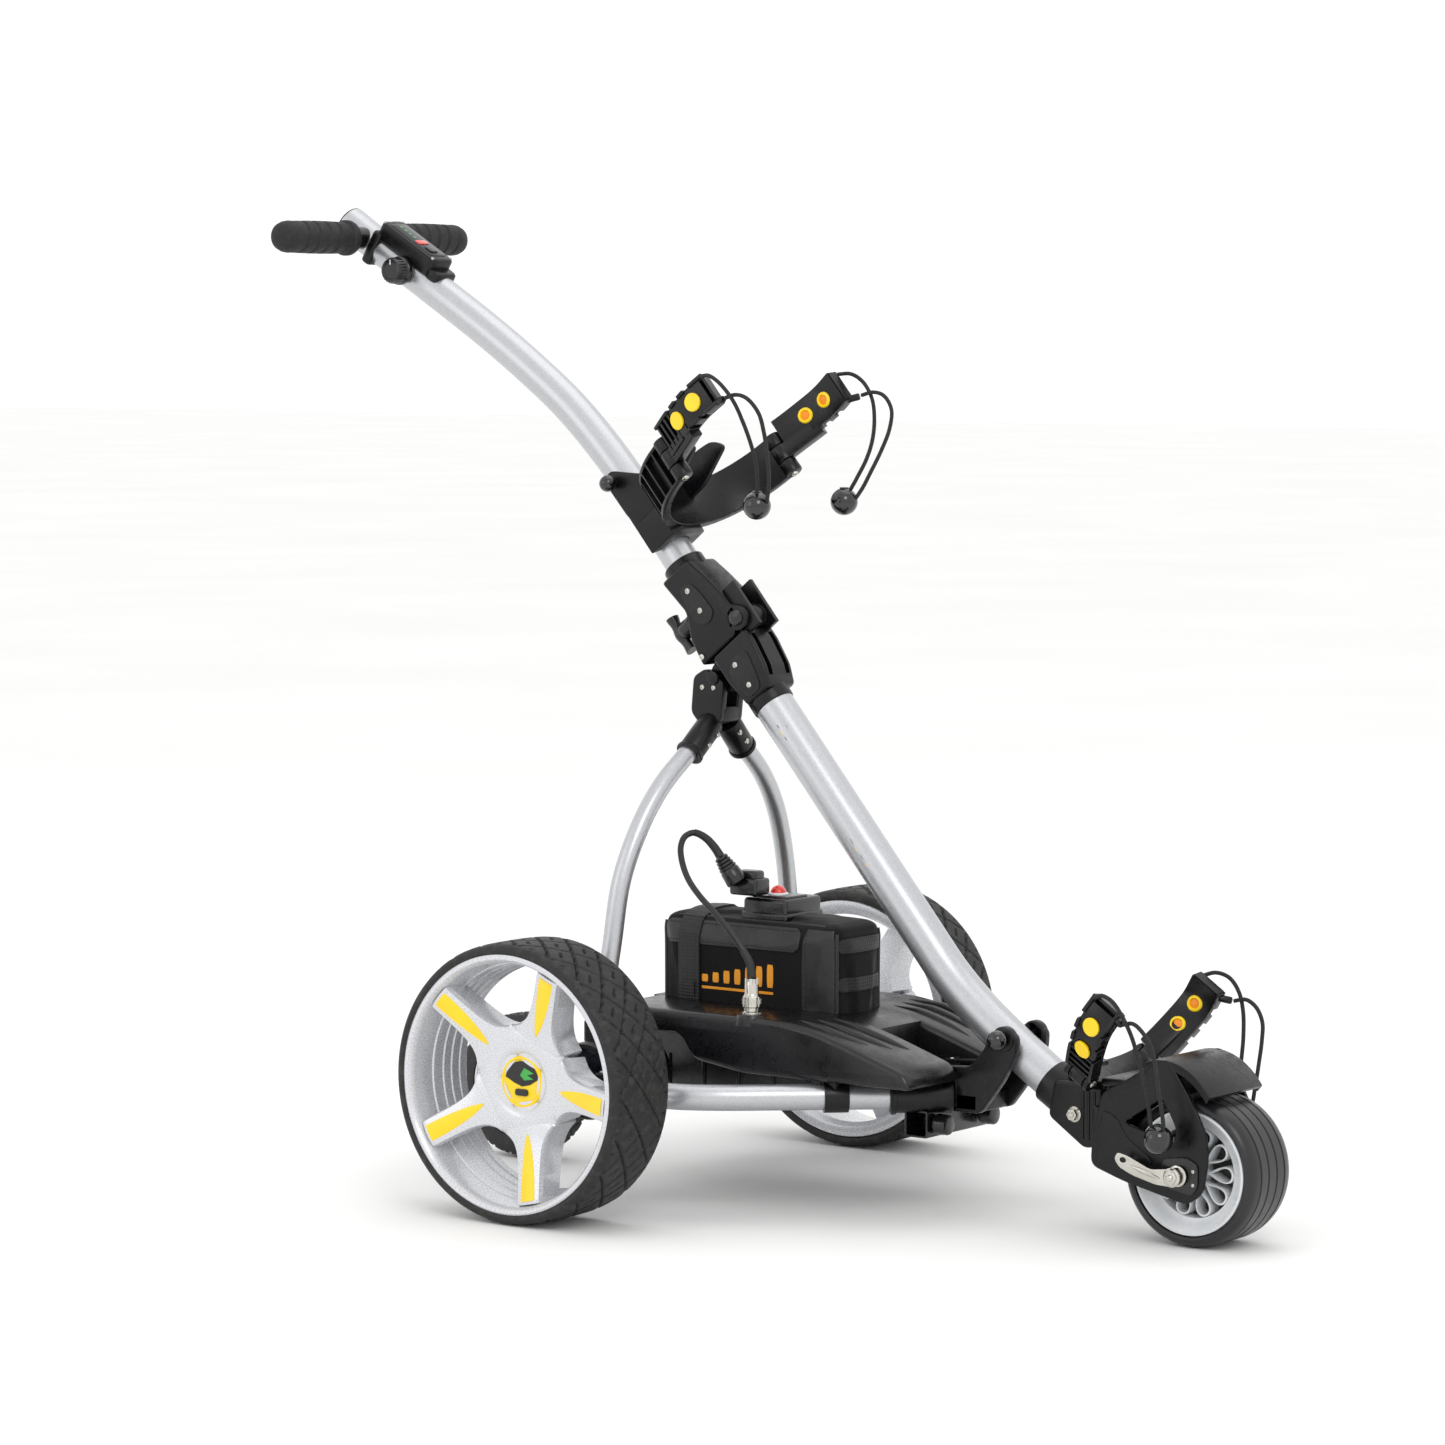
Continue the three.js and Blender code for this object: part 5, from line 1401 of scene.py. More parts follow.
@dataclass
class FrontWheel(SmallWheel):
    """The front wheel: a smooth tyre with fine rings, a dished rim and teardrop loops inside it."""

    petals: int = 10

    def build(self) -> None:
        """Makes the tyre, the rim and its loops on both faces."""
        place = self.place()
        emit("front_tyre_ribbed", lathe(self.section(), place, 144), "front_wheel", "front_tyre",
             ["front_tyre"])
        half = self.width / 2 - 3
        ring = [(self.rim_radius, half - 4), (self.rim_radius - 1, half), (self.rim_radius - 3, half + 0.6),
                (self.rim_radius - 6, half - 2), (self.rim_radius - 10, half - 7),
                (self.rim_radius - 14, half - 9), (self.rim_radius - 15.5, half - 9.5),
                (self.rim_radius - 16, half - 12)]
        ring += [(r, -x) for r, x in reversed(ring)]
        emit("front_rim_dished", lathe(ring, place, 120), "front_wheel", "white", ["front_rim"])
        disc = [(0, -9), (42, -9), (42, 9), (0, 9)]
        emit("front_rim_web", lathe(disc, place, 72), "front_wheel", "petal_grey")
        hub = [(4.4, -32), (11, -32), (12, -30), (12, 30), (11, 32), (4.4, 32)]
        emit("front_hub", lathe(hub, place, 48), "front_wheel", "white")
        self.loops()

    def section(self) -> list[Pair]:
        """The tyre's closed section with four fine grooves in its crown."""
        half = self.width / 2
        r = self.radius
        outer: list[Pair] = [(self.rim_radius, -half + 7), (self.rim_radius + 0.4, -half + 1.6),
                             (self.rim_radius + 2.4, -half + 0.2), (r - 5.5, -half + 1.2),
                             (r - 2.0, -half + 5), (r - 0.7, -half + 9.5)]
        for middle in (-20, -7, 7, 20):
            outer += [(r - 0.12, middle - 1.4), (r - 1.6, middle - 0.7), (r - 1.6, middle + 0.7),
                      (r - 0.12, middle + 1.4)]
        outer += [(rr, -x) for rr, x in reversed(outer[:6])]
        return outer

    def loops(self) -> None:
        """Thin teardrop walls standing on the web, round the hub, on both faces."""
        outline = self.teardrop(0.0)
        inner = self.teardrop(2.0)
        for side in Side:
            up = basis(Vector((0, side.value, 0)), Vector((0, 0, 1)), Vector((side.value, 0, 0)), Vector())
            shape = prism(outline, 8, 24, up, 0.5, [inner])
            centre = Matrix.Translation((0, self.y, self.z)) @ Matrix.Rotation(math.radians(18), 4, "X")
            repeated(f"front_rim_loops_{side.word}", Repeat.AROUND, shape, "white", "front_wheel",
                     count=self.petals, centre=centre)

    def teardrop(self, inset: float) -> list[Pair]:
        """A teardrop that is pointed at the hub, moved inwards by an inset."""
        points = []
        near, far, wide = 13 + inset * 2.2, 40.6 - inset, 10.6 - inset
        for i in range(28):
            angle = math.tau * i / 28
            along = (1 - math.cos(angle)) / 2
            width = wide * math.sin(angle) * along**0.75
            points.append((width, near + (far - near) * along))
        return points


@dataclass
class AntiTipWheel(SmallWheel):
    """The small treaded wheel behind the rear axle."""

    def build(self) -> None:
        """Makes the tyre and the rim."""
        place = self.place()
        half = self.width / 2
        r = self.radius
        outer: list[Pair] = [(self.rim_radius, -half + 4), (self.rim_radius + 0.5, -half + 0.8),
                             (r - 5, -half + 0.6), (r - 2.0, -half + 2.4)]
        steps = 22
        crown = half - 4
        outer += [(r - 0.5 * abs(2 * i / steps - 1) ** 3, -crown + 2 * crown * i / steps)
                  for i in range(steps + 1)]
        outer += [(rr, -x) for rr, x in reversed(outer[:4])]
        tyre = treaded_tyre(outer, place, r, 15, 20, 22, 1.0, 1.7, 1.6)
        emit("anti_tip_tyre_treaded", tyre, "anti_tip_wheel", "anti_tip_tyre", ["anti_tip_tyre"], 50)
        rim = [(self.rim_radius - 0.4, half - 4), (self.rim_radius - 1, half - 1),
               (self.rim_radius - 3.4, half - 1), (self.rim_radius - 5, half - 4), (self.rim_radius - 6, 3),
               (18, 3), (14, half - 2), (4.5, half - 2)]
        rim += [(rr, -x) for rr, x in reversed(rim)]
        emit("anti_tip_rim_painted", lathe(rim, place, 96), "anti_tip_wheel", "rim_paint", ["anti_tip_rim"])


# ---------------------------------------------------------------- bag supports
@dataclass
class BagSupport:
    """A curved cradle across the tube with a hinged arm on each side, each arm with two yellow discs."""

    name: str
    origin: Vector
    down: Vector
    bolt: Pair
    arch: float
    tip: Pair
    floor: float
    half: float
    blade: Pair
    discs: tuple[Pair, Pair]
    cradle_body: str
    cord_end: Vector
    thickness: float = 13.0
    disc_radius: float = 8.5
    rail_runs: tuple[tuple[int, int], ...] = ((3, 13), (14, 18), (19, 23), (24, 31))

    def out(self) -> Vector:
        """The direction away from the tube, towards the bag."""
        return Vector((0, self.down.z, -self.down.y))

    def place(self) -> Matrix:
        """The frame of a section drawn in (across, out) and extruded down the tube."""
        return basis(Vector((1, 0, 0)), self.out(), self.down, self.origin)

    def at(self, x: float, front: float, along: float) -> Vector:
        """A point beside the support."""
        return self.origin + self.out() * front + self.down * along + Vector((x, 0, 0))

    def at_bolt(self, x: int, along: float) -> Vector:
        """A point on the line of one side's bolt."""
        return self.at(x * self.bolt[0], self.bolt[1], along)

    def band(self, points: Sequence[Vector], inner: float, outer: float) -> list[Pair]:
        """The section of a strip along points, between two offsets to the left of its line."""
        left, right = [], []
        for before, here, after in zip([points[0], *points], points, [*points[1:], points[-1]]):
            t = (after - before).normalized()
            normal = Vector((-t.y, t.x, 0))
            left.append(tuple((here + normal * outer).xy))
            right.append(tuple((here + normal * inner).xy))
        return [*right, *reversed(left)]

    def cradle_line(self) -> list[Vector]:
        """The middle line of the cradle from bolt to bolt."""
        sweep_angle = math.asin(min(1, self.bolt[0] / self.arch))
        line = []
        for i in range(-14, 15):
            angle = sweep_angle * i / 14
            rise = (1 - math.cos(angle)) / (1 - math.cos(sweep_angle))
            line.append(Vector((self.arch * math.sin(angle),
                                self.floor + (self.bolt[1] - self.floor) * rise, 0)))
        return line

    def arm_line(self) -> list[Vector]:
        """The middle line of the right arm from its bolt to its tip."""
        (bx, bf), (tx, tf) = self.bolt, self.tip
        points = [(-bx, bf), (-bx - (tx - bx) * 0.6, bf + (tf - bf) * 0.35), (-tx, bf + (tf - bf) * 0.72),
                  (-tx + 3, tf)]
        return smooth_path([Vector((x, y, 0)) for x, y in points], 30)

    def build(self) -> None:
        """Makes the cradle, both arms, their discs and their bolts."""
        self.cradle()
        for side in (Side.RIGHT, Side.LEFT):
            self.arm_pieces(side)
        ends = (-1, 1)
        spots = [(self.at_bolt(x, end * (self.half + 0.2)), self.down * end) for x in (-1, 1) for end in ends]
        screws(f"{self.name}_hinge_screws", self.cradle_body, spots, 3.6)

    def cradle(self) -> None:
        """A smooth seat for the bag on a hollow back with ribs, and a fork at each bolt."""
        line = self.cradle_line()
        place = self.place()
        half = self.half
        form = prism(self.band(line, 1.0, 4.5), -half, half, place, 0.9)
        for low, high in ((-half, -half + 3.2), (half - 3.2, half)):
            form.add(prism(self.band(line, -4.5, 4.4), low, high, place, 0.8))
        steps = 16
        for i in range(1, steps):
            share = i / steps * (len(line) - 1)
            k = int(share)
            here = line[k].lerp(line[min(k + 1, len(line) - 1)], share - k)
            if abs(here.x) < 20:
                continue
            t = (line[min(k + 1, len(line) - 1)] - line[max(k - 1, 0)]).normalized()
            normal = Vector((-t.y, t.x, 0))
            rib = [here + t * a + normal * b for a, b in ((-1.1, -4.2), (1.1, -4.2), (1.1, 2), (-1.1, 2))]
            form.add(prism([tuple(p.xy) for p in rib], -half + 2, half - 2, place, 0.3))
        for x in (-1, 1):
            for low, high in ((-half, -8.6), (8.6, half)):
                form.add(rounded_rod(self.at_bolt(x, low), self.at_bolt(x, high), 8.8, 1.4, 36))
        self.saddle(form)
        emit(f"{self.name}_cradle_moulded", form, self.cradle_body, "casting", [f"{self.name}_cradle"])

    def saddle(self, form: Form) -> None:
        """Adds what ties the cradle to its tube."""
        raise NotImplementedError

    def arm_pieces(self, side: Side) -> None:
        """One arm: a smooth inner pad, two rails, cross ribs and the disc plate, with its discs and studs."""
        line = self.arm_line()
        place = self.place()
        low, high = self.blade
        t = self.thickness / 2
        form = prism(self.band(line[3:], -t, -t + 3.2), low, high, place, 0.8)
        for start in (low + 2.4, high - 4.6):
            form.add(prism(self.band(line[3:], -t + 0.4, t - 2.6), start, start + 2.2, place, 0.4))
        for first, last in self.rail_runs:
            for a, b in ((low, low + 3.6), (high - 3.6, high)):
                form.add(prism(self.band(line[first:last], -t + 0.4, t), a, b, place, 0.8))
        plate = line[11:29]
        form.add(prism(self.band(plate, t - 4.6, t - 1.6), low + 2, high - 2, place, 0.5))
        for share in (0.14, 0.22, 0.3, 0.38, 0.995):
            form.add(self.rib(line, share, low, high))
        root = smooth_path([Vector((-self.bolt[0], self.bolt[1], 0)),
                            Vector((-self.bolt[0] - 3, self.bolt[1] + 10, 0)), line[16]], 12)
        form.add(prism(self.band(root, -t + 0.5, t - 0.5), -8, 8, place, 1.2))
        form.add(rounded_rod(self.at_bolt(-1, -8), self.at_bolt(-1, 8), 9.0, 1.2, 36))
        tip = line[-3]
        form.add(rounded_rod(self.at(tip.x, tip.y, high - 4), self.cord_end, 3.4, 1.2, 24))
        discs, studs, centres = Form(), Form(), Form()
        for x, front, along in self.disc_places(line):
            here = self.at(x, front, along)
            normal = self.arm_normal(line, front)
            outer = facing(here + normal * (t - 2.2), normal)
            r = self.disc_radius
            discs.add(lathe([(0, 0), (r - 0.5, 0), (r, 0.6), (r, 2.2), (r - 0.9, 3.0), (0, 3.0)], outer, 48))
            inner = facing(here - normal * (t - 0.8), -normal)
            studs.add(lathe([(0, 0), (7.6, 0), (7.6, 1.6), (6.6, 3.0), (5.2, 3.2), (4.4, 1.6), (0, 1.6)],
                            inner, 40))
            centres.add(lathe([(0, 1.4), (4.3, 1.4), (4.3, 1.9), (3.2, 2.3), (0, 2.4)], inner, 32))
        body = f"{self.name}_bag_arm_{side.word}"
        names = ((f"{self.name}_arm_{side.word}_moulded", form, "arm_nylon",
                  [f"{self.name}_arm_{side.word}"]),
                 (f"{self.name}_arm_{side.word}_discs", discs, "yellow", []),
                 (f"{self.name}_arm_{side.word}_studs", studs, "yellow", []),
                 (f"{self.name}_arm_{side.word}_stud_centres", centres, "orange", []))
        for name, shape, finish, nodes in names:
            emit(name, shape if side is Side.RIGHT else shape.mirrored(), body, finish, nodes)

    def rib(self, line: Sequence[Vector], share: float, low: float, high: float) -> Form:
        """A cross rib between the rails at a share of the arm's length."""
        k = min(int(share * (len(line) - 1)), len(line) - 2)
        here = line[k].lerp(line[k + 1], share * (len(line) - 1) - k)
        t = (line[k + 1] - line[k]).normalized()
        normal = Vector((-t.y, t.x, 0))
        half = self.thickness / 2
        corners = [here + t * a + normal * b
                   for a, b in ((-1.3, -half + 1), (1.3, -half + 1), (1.3, half - 0.8), (-1.3, half - 0.8))]
        return prism([tuple(p.xy) for p in corners], low + 2, high - 2, self.place(), 0.4)

    def arm_normal(self, line: Sequence[Vector], front: float) -> Vector:
        """The direction out of the right arm's outer face at a height."""
        k = min(range(1, len(line) - 1), key=lambda i: abs(line[i].y - front))
        t = (line[k + 1] - line[k - 1]).normalized()
        return Vector((-t.y, 0, 0)) + self.out() * t.x

    def disc_places(self, line: Sequence[Vector]) -> list[Triple]:
        """The middle of each disc on the arm's middle line, as (across, out, along)."""
        places = []
        for front, along in self.discs:
            k = min(range(len(line)), key=lambda i: abs(line[i].y - front))
            places.append((line[k].x, front, along))
        return places


@dataclass
class UpperSupport(BagSupport):
    """The support on the handle's tube, clamped by a ball knob high on its right cheek."""

    cheek: tuple[Pair, ...] = ((104, 660), (98, 671), (60, 669), (46, 676), (30, 690), (12, 700), (-4, 696),
                               (20, 658), (46, 636), (64, 621), (75, 627))

    def saddle(self, form: Form) -> None:
        """Adds the saddle with its side cheeks round the tube."""
        outline = [(-25, -8), (-25, 24), (-14, 30), (14, 30), (25, 24), (25, -8)]
        inside = [(17.3 * math.cos(a), 17.3 * math.sin(a)) for a in
                  (math.radians(192 - 204 * i / 20) for i in range(21))]
        form.add(prism([*filleted(outline, 3, 3)[4:-4], (25, -8), *reversed(inside), (-25, -8)], -30, 26,
                       self.place(), 0.9))
        form.add(both_sides(filleted(self.cheek, 7, 4), 20.3, 25.5, 1.1))


@dataclass
class LowerSupport(BagSupport):
    """The support over the front wheel, standing on the front clamp."""

    def saddle(self, form: Form) -> None:
        """Adds the round hub and the foot that stand on the front clamp."""
        low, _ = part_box("lower_cradle")
        ground = TO_FRAME.inverted() @ low
        place = Matrix.Translation((0, -430, 0))
        form.add(lathe([(0, 135.6), (13, 135.6), (14, 137), (14, 150), (12.5, 153), (0, 154)], place, 40))
        form.add(box((-14, -448, max(ground.z, 135.5)), (14, -412, 146), 2.5, 3))


def bag_supports() -> list[BagSupport]:
    """The upper and the lower support with their sizes."""
    return [
        UpperSupport("upper", Vector((0, 57, 619)), DOWN, (87, 105), 88, (105, 190), 26, 22, (-32, 2),
                     ((169, -15.5), (143.5, -15.5)), "handle", Vector((-109, -97.5, 742))),
        LowerSupport("lower", Vector((0, -424, 107)), LOWER_DOWN, (55, 50), 69, (88, 134), 42, 14, (-16, 16),
                     ((110.5, 0), (85.5, 0)), "frame", Vector((-95, -517, 203))),
    ]


@dataclass
class ClampKnobs:
    """The ball knobs that clamp the upper support, the bracket and the receiver."""

    def build(self) -> None:
        """Makes each knob with its shank or bolt."""
        low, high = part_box("upper_clamp_knob")
        middle = TO_FRAME.inverted() @ ((low + high) / 2)
        tip = TO_FRAME.inverted() @ Vector((low.x, 0, 0))
        centre = Vector((tip.x + 8, middle.y, middle.z))
        form = rounded_rod(Vector((-20.5, middle.y, middle.z)), Vector((-32, middle.y, middle.z)), 4.2)
        form.add(ball(centre, 8, 20))
        emit("upper_clamp_knob_moulded", form, "cradle_clamp_knob", "phenolic", ["upper_clamp_knob"])
        bolt = (-352, 168)
        pivot = rounded_rod(Vector((-32, *bolt)), Vector((33, *bolt)), 5.0)
        pivot.add(ball(Vector((-39, *bolt)), 9.2, 20))
        pivot.add(hex_nut(Vector((29.3, *bolt)), Vector((1, 0, 0)), 7.5, 5.4))
        emit("bracket_pivot_bolt_moulded", pivot, "pivot_knob", "phenolic", ["bracket_pivot_bolt"])
        for side in Side:
            profile = [(0, 0), (5, 0), (5, 2.6)]
            for i in range(3):
                profile += [(9.4 - i * 0.2, 3.4 + i * 4), (9.8 - i * 0.2, 5.8 + i * 4)]
            profile += [(8.8, 15.8), (6.6, 16.8), (0, 17)]
            place = facing(Vector((side.value * 38, -284.7, 86)), Vector((0, -1, 0)))
            knob = lathe(profile, place, 36)
            knob.add(rounded_rod(Vector((side.value * 38, -286, 86)), Vector((side.value * 38, -279, 86)),
                                 2.9))
            emit(f"receiver_knob_{side.word}_moulded", knob, f"receiver_screw_{side.word}", "smooth_nylon",
                 [f"receiver_knob_{side.word}"])


# ---------------------------------------------------------------- front fork
@dataclass
class FrontFork:
    """The clamp on the tube, the fork with its mudguard, the axle and the quick-release lever."""

    y: float = -549.0
    z: float = 67.0

    def build(self) -> None:
        """Makes every piece round the front wheel."""
        self.clamp()
        self.fork()
        self.lever()

    def clamp(self) -> None:
        """The clamp block with its flanged nut and its ribbed neck."""
        outline = [(-402, 135), (-452, 135), (-456, 80), (-434, 76), (-396, 102)]
        form = prism(filleted(outline, 5, 4), -22, 22, across(0, 0), 2.4)
        form.add(rounded_rod(Vector((0, -386, 131)), Vector((0, -412, 114.6)), 21.6, 1.5, 48))
        for k in range(4):
            y = -433 - k * 6
            form.add(box((-23.2, y - 1.4, 84), (23.2, y + 1.4, 128), 1.2, 2))
        emit("front_clamp_moulded", form, "frame", "casting", ["front_clamp"])
        nuts = Form()
        for x in (-1, 1):
            nuts.add(hex_nut(Vector((x * 22.2, -424, 106)), Vector((x, 0, 0)), 5.6, 5.5))
        emit("front_clamp_nuts", nuts, "frame", "nickel")

    def fork(self) -> None:
        """Two windowed cheeks, the rear wall, the ribbed mudguard and its tie."""
        cheek = [(-468, 134), (-458, 92), (-456.5, 67), (-490, 56), (-556, 41), (-571, 52), (-576, 80),
                 (-575, 103), (-558, 136), (-536, 168), (-524, 166), (-492, 146)]
        window = [(-490, 108), (-526, 131), (-531, 132), (-545, 107), (-542, 93)]
        pad = [(-470, 118), (-464, 92), (-464, 76), (-492, 66), (-516, 60), (-520, 78), (-494, 96),
               (-484, 112)]
        form = both_sides(filleted(cheek, 8, 4), 42, 47, 1.2, [filleted(window, 7, 4)])
        form.add(both_sides(filleted(pad, 5, 3), 46, 48, 0.7))
        form.add(box((-46, -466, 72), (46, -456.7, 120), 3.0, 3))
        form.add(box((-46, -500, 138), (46, -466, 146), 2.5, 3))
        form.add(self.mudguard())
        emit("front_fork_moulded", form, "frame", "casting", ["front_fork"])
        axle = rounded_rod(Vector((-58, self.y, self.z)), Vector((52, self.y, self.z)), 4.0)
        axle.add(hex_nut(Vector((47.4, self.y, self.z)), Vector((1, 0, 0)), 7.4, 4.6))
        emit("front_axle_zinc", axle, "frame", "zinc", ["front_axle"])
        plate = [(-532, 80), (-532, 56), (-562, 50), (-568, 58), (-568, 78), (-556, 84)]
        emit("axle_plates", both_sides(filleted(plate, 5, 4), 46.6, 49.4, 0.7), "frame", "smooth_nylon")
        screws("axle_plate_screws", "frame", [(Vector((x * 49.4, y, z)), Vector((x, 0, 0))) for x in (-1, 1)
                                              for y, z in ((-563.5, 60), (-563.5, 72))], 1.8)

    def mudguard(self) -> Form:
        """The arched guard over the wheel: a skin with turned-down edges and ribs inside."""
        def arc(offset: float, low: float = -15, high: float = 48) -> list[Pair]:
            turn = [math.radians(low + (high - low) * i / 20) for i in range(21)]
            return [(self.y + 20 - 66 * math.sin(a) - offset * math.sin(a) * 0.75, self.z + 12 + (88 + offset)
                     * math.cos(a)) for a in turn]

        skin = [*arc(0), *reversed(arc(-3.4))]
        form = prism(skin, -46, 46, across(0, 0), 1.1)
        form.add(both_sides([*arc(-1), *reversed(arc(-8))], 42.6, 46, 1.0))
        for k in range(-2, 3):
            form.add(prism([*arc(-2, -8, 40), *reversed(arc(-5.6, -8, 40))], k * 13 - 1.2, k * 13 + 1.2,
                           across(0, 0), 0.4))
        return form

    def lever(self) -> None:
        """The stamped steel lever on its round hub, with a bead along it and a hole at its end."""
        outline = [(-8, -3), (0, -8.4), (16, -8), (40, -2), (54, 4), (59, 11), (56, 17), (46, 15), (22, 5),
                   (0, 7.6)]
        turn = [math.tau * i / 16 for i in range(16)]
        hole = [(50 + 3.2 * math.cos(a), 10.6 + 2.4 * math.sin(a)) for a in turn]
        form = prism(filleted(outline, 4, 4), -61.5, -59.6, across(self.y, self.z), 0.5, [hole])
        bead = [Vector((-61.4, self.y + 12 + 30 * t / 10, self.z - 2 + 8.5 * t / 10)) for t in range(11)]
        form.add(sweep(bead, lambda share: 2.2 * math.sin(math.pi * (0.1 + 0.8 * share)), 16))
        hub = facing(Vector((-51.4, self.y, self.z)), Vector((-1, 0, 0)))
        form.add(lathe([(4.2, 0), (9.4, 0), (9.4, 1.2), (7.9, 1.8), (7.9, 8.2), (8.6, 9), (8.6, 10.2),
                        (4.2, 10.2)], hub,
                       40))
        form.add(hex_nut(Vector((-61.4, self.y, self.z)), Vector((-1, 0, 0)), 6.4, 3.2))
        emit("quick_release_lever_stamped", form, "wheel_lever", "nickel", ["quick_release_lever"])


# ---------------------------------------------------------------- handle
@dataclass
class Handle:
    """The cross bar with its two rubber grips, the console, its speed dial and the tube's end cap."""

    bar: Vector = field(default_factory=lambda: Vector((0, 412, 893)))
    grip_inner: float = 32.0
    grip_outer: float = 140.0

    def build(self) -> None:
        """Makes every piece of the handle."""
        core = rounded_rod(self.bar + Vector((-134, 0, 0)), self.bar + Vector((134, 0, 0)), 11, 1, 32)
        emit("handle_bar_tube", core, "handle", "smooth_nylon", ["handle_bar"])
        for side in Side:
            emit(f"handle_grip_{side.word}_moulded", self.grip(side), "handle", "grip",
                 [f"handle_grip_{side.word}"])
        self.console()
        self.dial()
        self.end_cap()

    def grip(self, side: Side) -> Form:
        """A grip with finger grooves, spiral flutes, a flange and a pointed outer end."""
        length = self.grip_outer - self.grip_inner
        profile: list[Pair] = [(11.2, 0), (14, 0.4), (16.6, 2), (17.4, 4), (17.4, 8.6), (16.4, 10),
                               (15.2, 11)]
        start, end = 13.0, length - 20
        steps = 96
        for i in range(steps + 1):
            t = i / steps
            profile.append((15.4 + 0.6 * math.sin(t * math.pi), start + (end - start) * t))
        profile += [(15.6, length - 16), (15.0, length - 11), (13.2, length - 6), (9.6, length - 2),
                    (4.6, length - 0.3), (0, length)]
        pitch = 15.6

        def fluted(co: Vector) -> Vector:
            reach = math.hypot(co.x, co.y)
            if reach < 13 or not start < co.z < end:
                return co
            turn = math.atan2(co.y, co.x)
            fade = min((co.z - start) / 4, (end - co.z) / 4, 1.0)
            place = (co.z + turn / math.tau * pitch) % pitch
            away = min(place, pitch - place)
            dip = 1.7 * max(0.0, 1 - (away / 2.2) ** 2) * fade
            scale = (reach - dip) / reach
            return Vector((co.x * scale, co.y * scale, co.z))

        place = facing(self.bar + Vector((side.value * self.grip_inner, 0, 0)), Vector((side.value, 0, 0)))
        return lathe([(0, 0), *profile], Matrix.Identity(4), 72).bent(fluted).moved(place)

    def console(self) -> None:
        """The switch pod on the tube: a rounded body, a glossy panel with lamps and two buttons."""
        along = Vector((0, 77, 46)).normalized()
        up = Vector((0, -46, 77)).normalized()
        right = Vector((1, 0, 0))
        place = basis(right, along, up, Vector((0, 367, 865)))
        body = prism(filleted([(-17, -39), (17, -39), (17, 39), (-17, 39)], 9, 6), 10, 29.6, place, 3.4)
        body.add(prism(filleted([(-15, -50), (15, -50), (17, -34), (-17, -34)], 6, 4), 9, 20, place, 3.0))
        body.add(prism(filleted([(-18.6, 30), (18.6, 30), (18.6, 42), (-18.6, 42)], 5, 4), -17, 18, place,
                       3.0))
        emit("control_console_moulded", body, "handle", "casting", ["control_console"])
        panel = prism(filleted([(-12.5, -30), (12.5, -30), (12.5, 31), (-12.5, 31)], 5, 5), 28.8, 30.0,
                      place, 0.3)
        emit("console_panel", panel, "handle", "dark_chrome")
        lamps = Form()
        for k in range(4):
            spot = place @ Vector((0, 6 + k * 6.4, 29.8))
            lamps.add(lathe([(0, -0.4), (1.6, -0.4), (1.6, 0.2), (0.9, 0.7), (0, 0.8)], facing(spot, up), 20))
        emit("console_lamps", lamps, "handle", "green_lens")
        red = prism(filleted([(-8, -8), (8, -8), (8, -1), (-8, -1)], 2.4, 4), 29.6, 30.9, place, 0.5)
        emit("console_stop_button", red, "handle", "red_lens")
        key = prism(filleted([(-6, -24), (6, -24), (6, -13), (-6, -13)], 3.5, 5), 29.6, 31.4, place, 0.8)
        emit("console_power_button", key, "handle", "smooth_nylon")
        spots = [(place @ Vector((x, y, 29.6)), up) for x in (-13.6, 13.6) for y in (-34, 35.5)]
        screws("console_screws", "handle", spots, 1.7, "zinc")

    def dial(self) -> None:
        """The ribbed speed dial on the pod's right side."""
        place = facing(Vector((-19.2, 358, 861)), Vector((-1, 0, 0)))
        profile = [(0, 0), (14, 0), (14, 3.4), (13, 4.6), (12.4, 5.6), (12.2, 14.6), (11.2, 16.4),
                   (8.6, 16.8), (8.0, 15.8), (0, 15.6)]
        emit("speed_knob_moulded", lathe(profile, place, 60), "speed_dial", "smooth_nylon", ["speed_knob"])
        rib = box((6, -0.55, 11.7), (14.6, 0.55, 12.8), 0.3, 2)
        rib.moved(Matrix.Diagonal((-1, 1, 1, 1))).outward()
        repeated("speed_knob_grips", Repeat.AROUND, rib, "smooth_nylon", "speed_dial", count=24,
                 centre=Matrix.Translation((-19.2, 358, 861)))
        line = box((-36.2, 357.4, 866.5), (-35.0, 358.6, 871.5), 0.3, 2)
        emit("speed_knob_pointer", line, "speed_dial", "white")

    def end_cap(self) -> None:
        """The domed plug in the tube's upper end."""
        end = Vector((0, 438, 908))
        place = facing(end, Vector((0, 24, 15)))
        cap = [(0, -6), (15, -6), (15, 0), (16.8, 0.2), (16.6, 1.6), (13, 3.4), (7, 4.6), (0, 5)]
        emit("upper_tube_cap", lathe(cap, place, 48), "handle", "smooth_nylon")


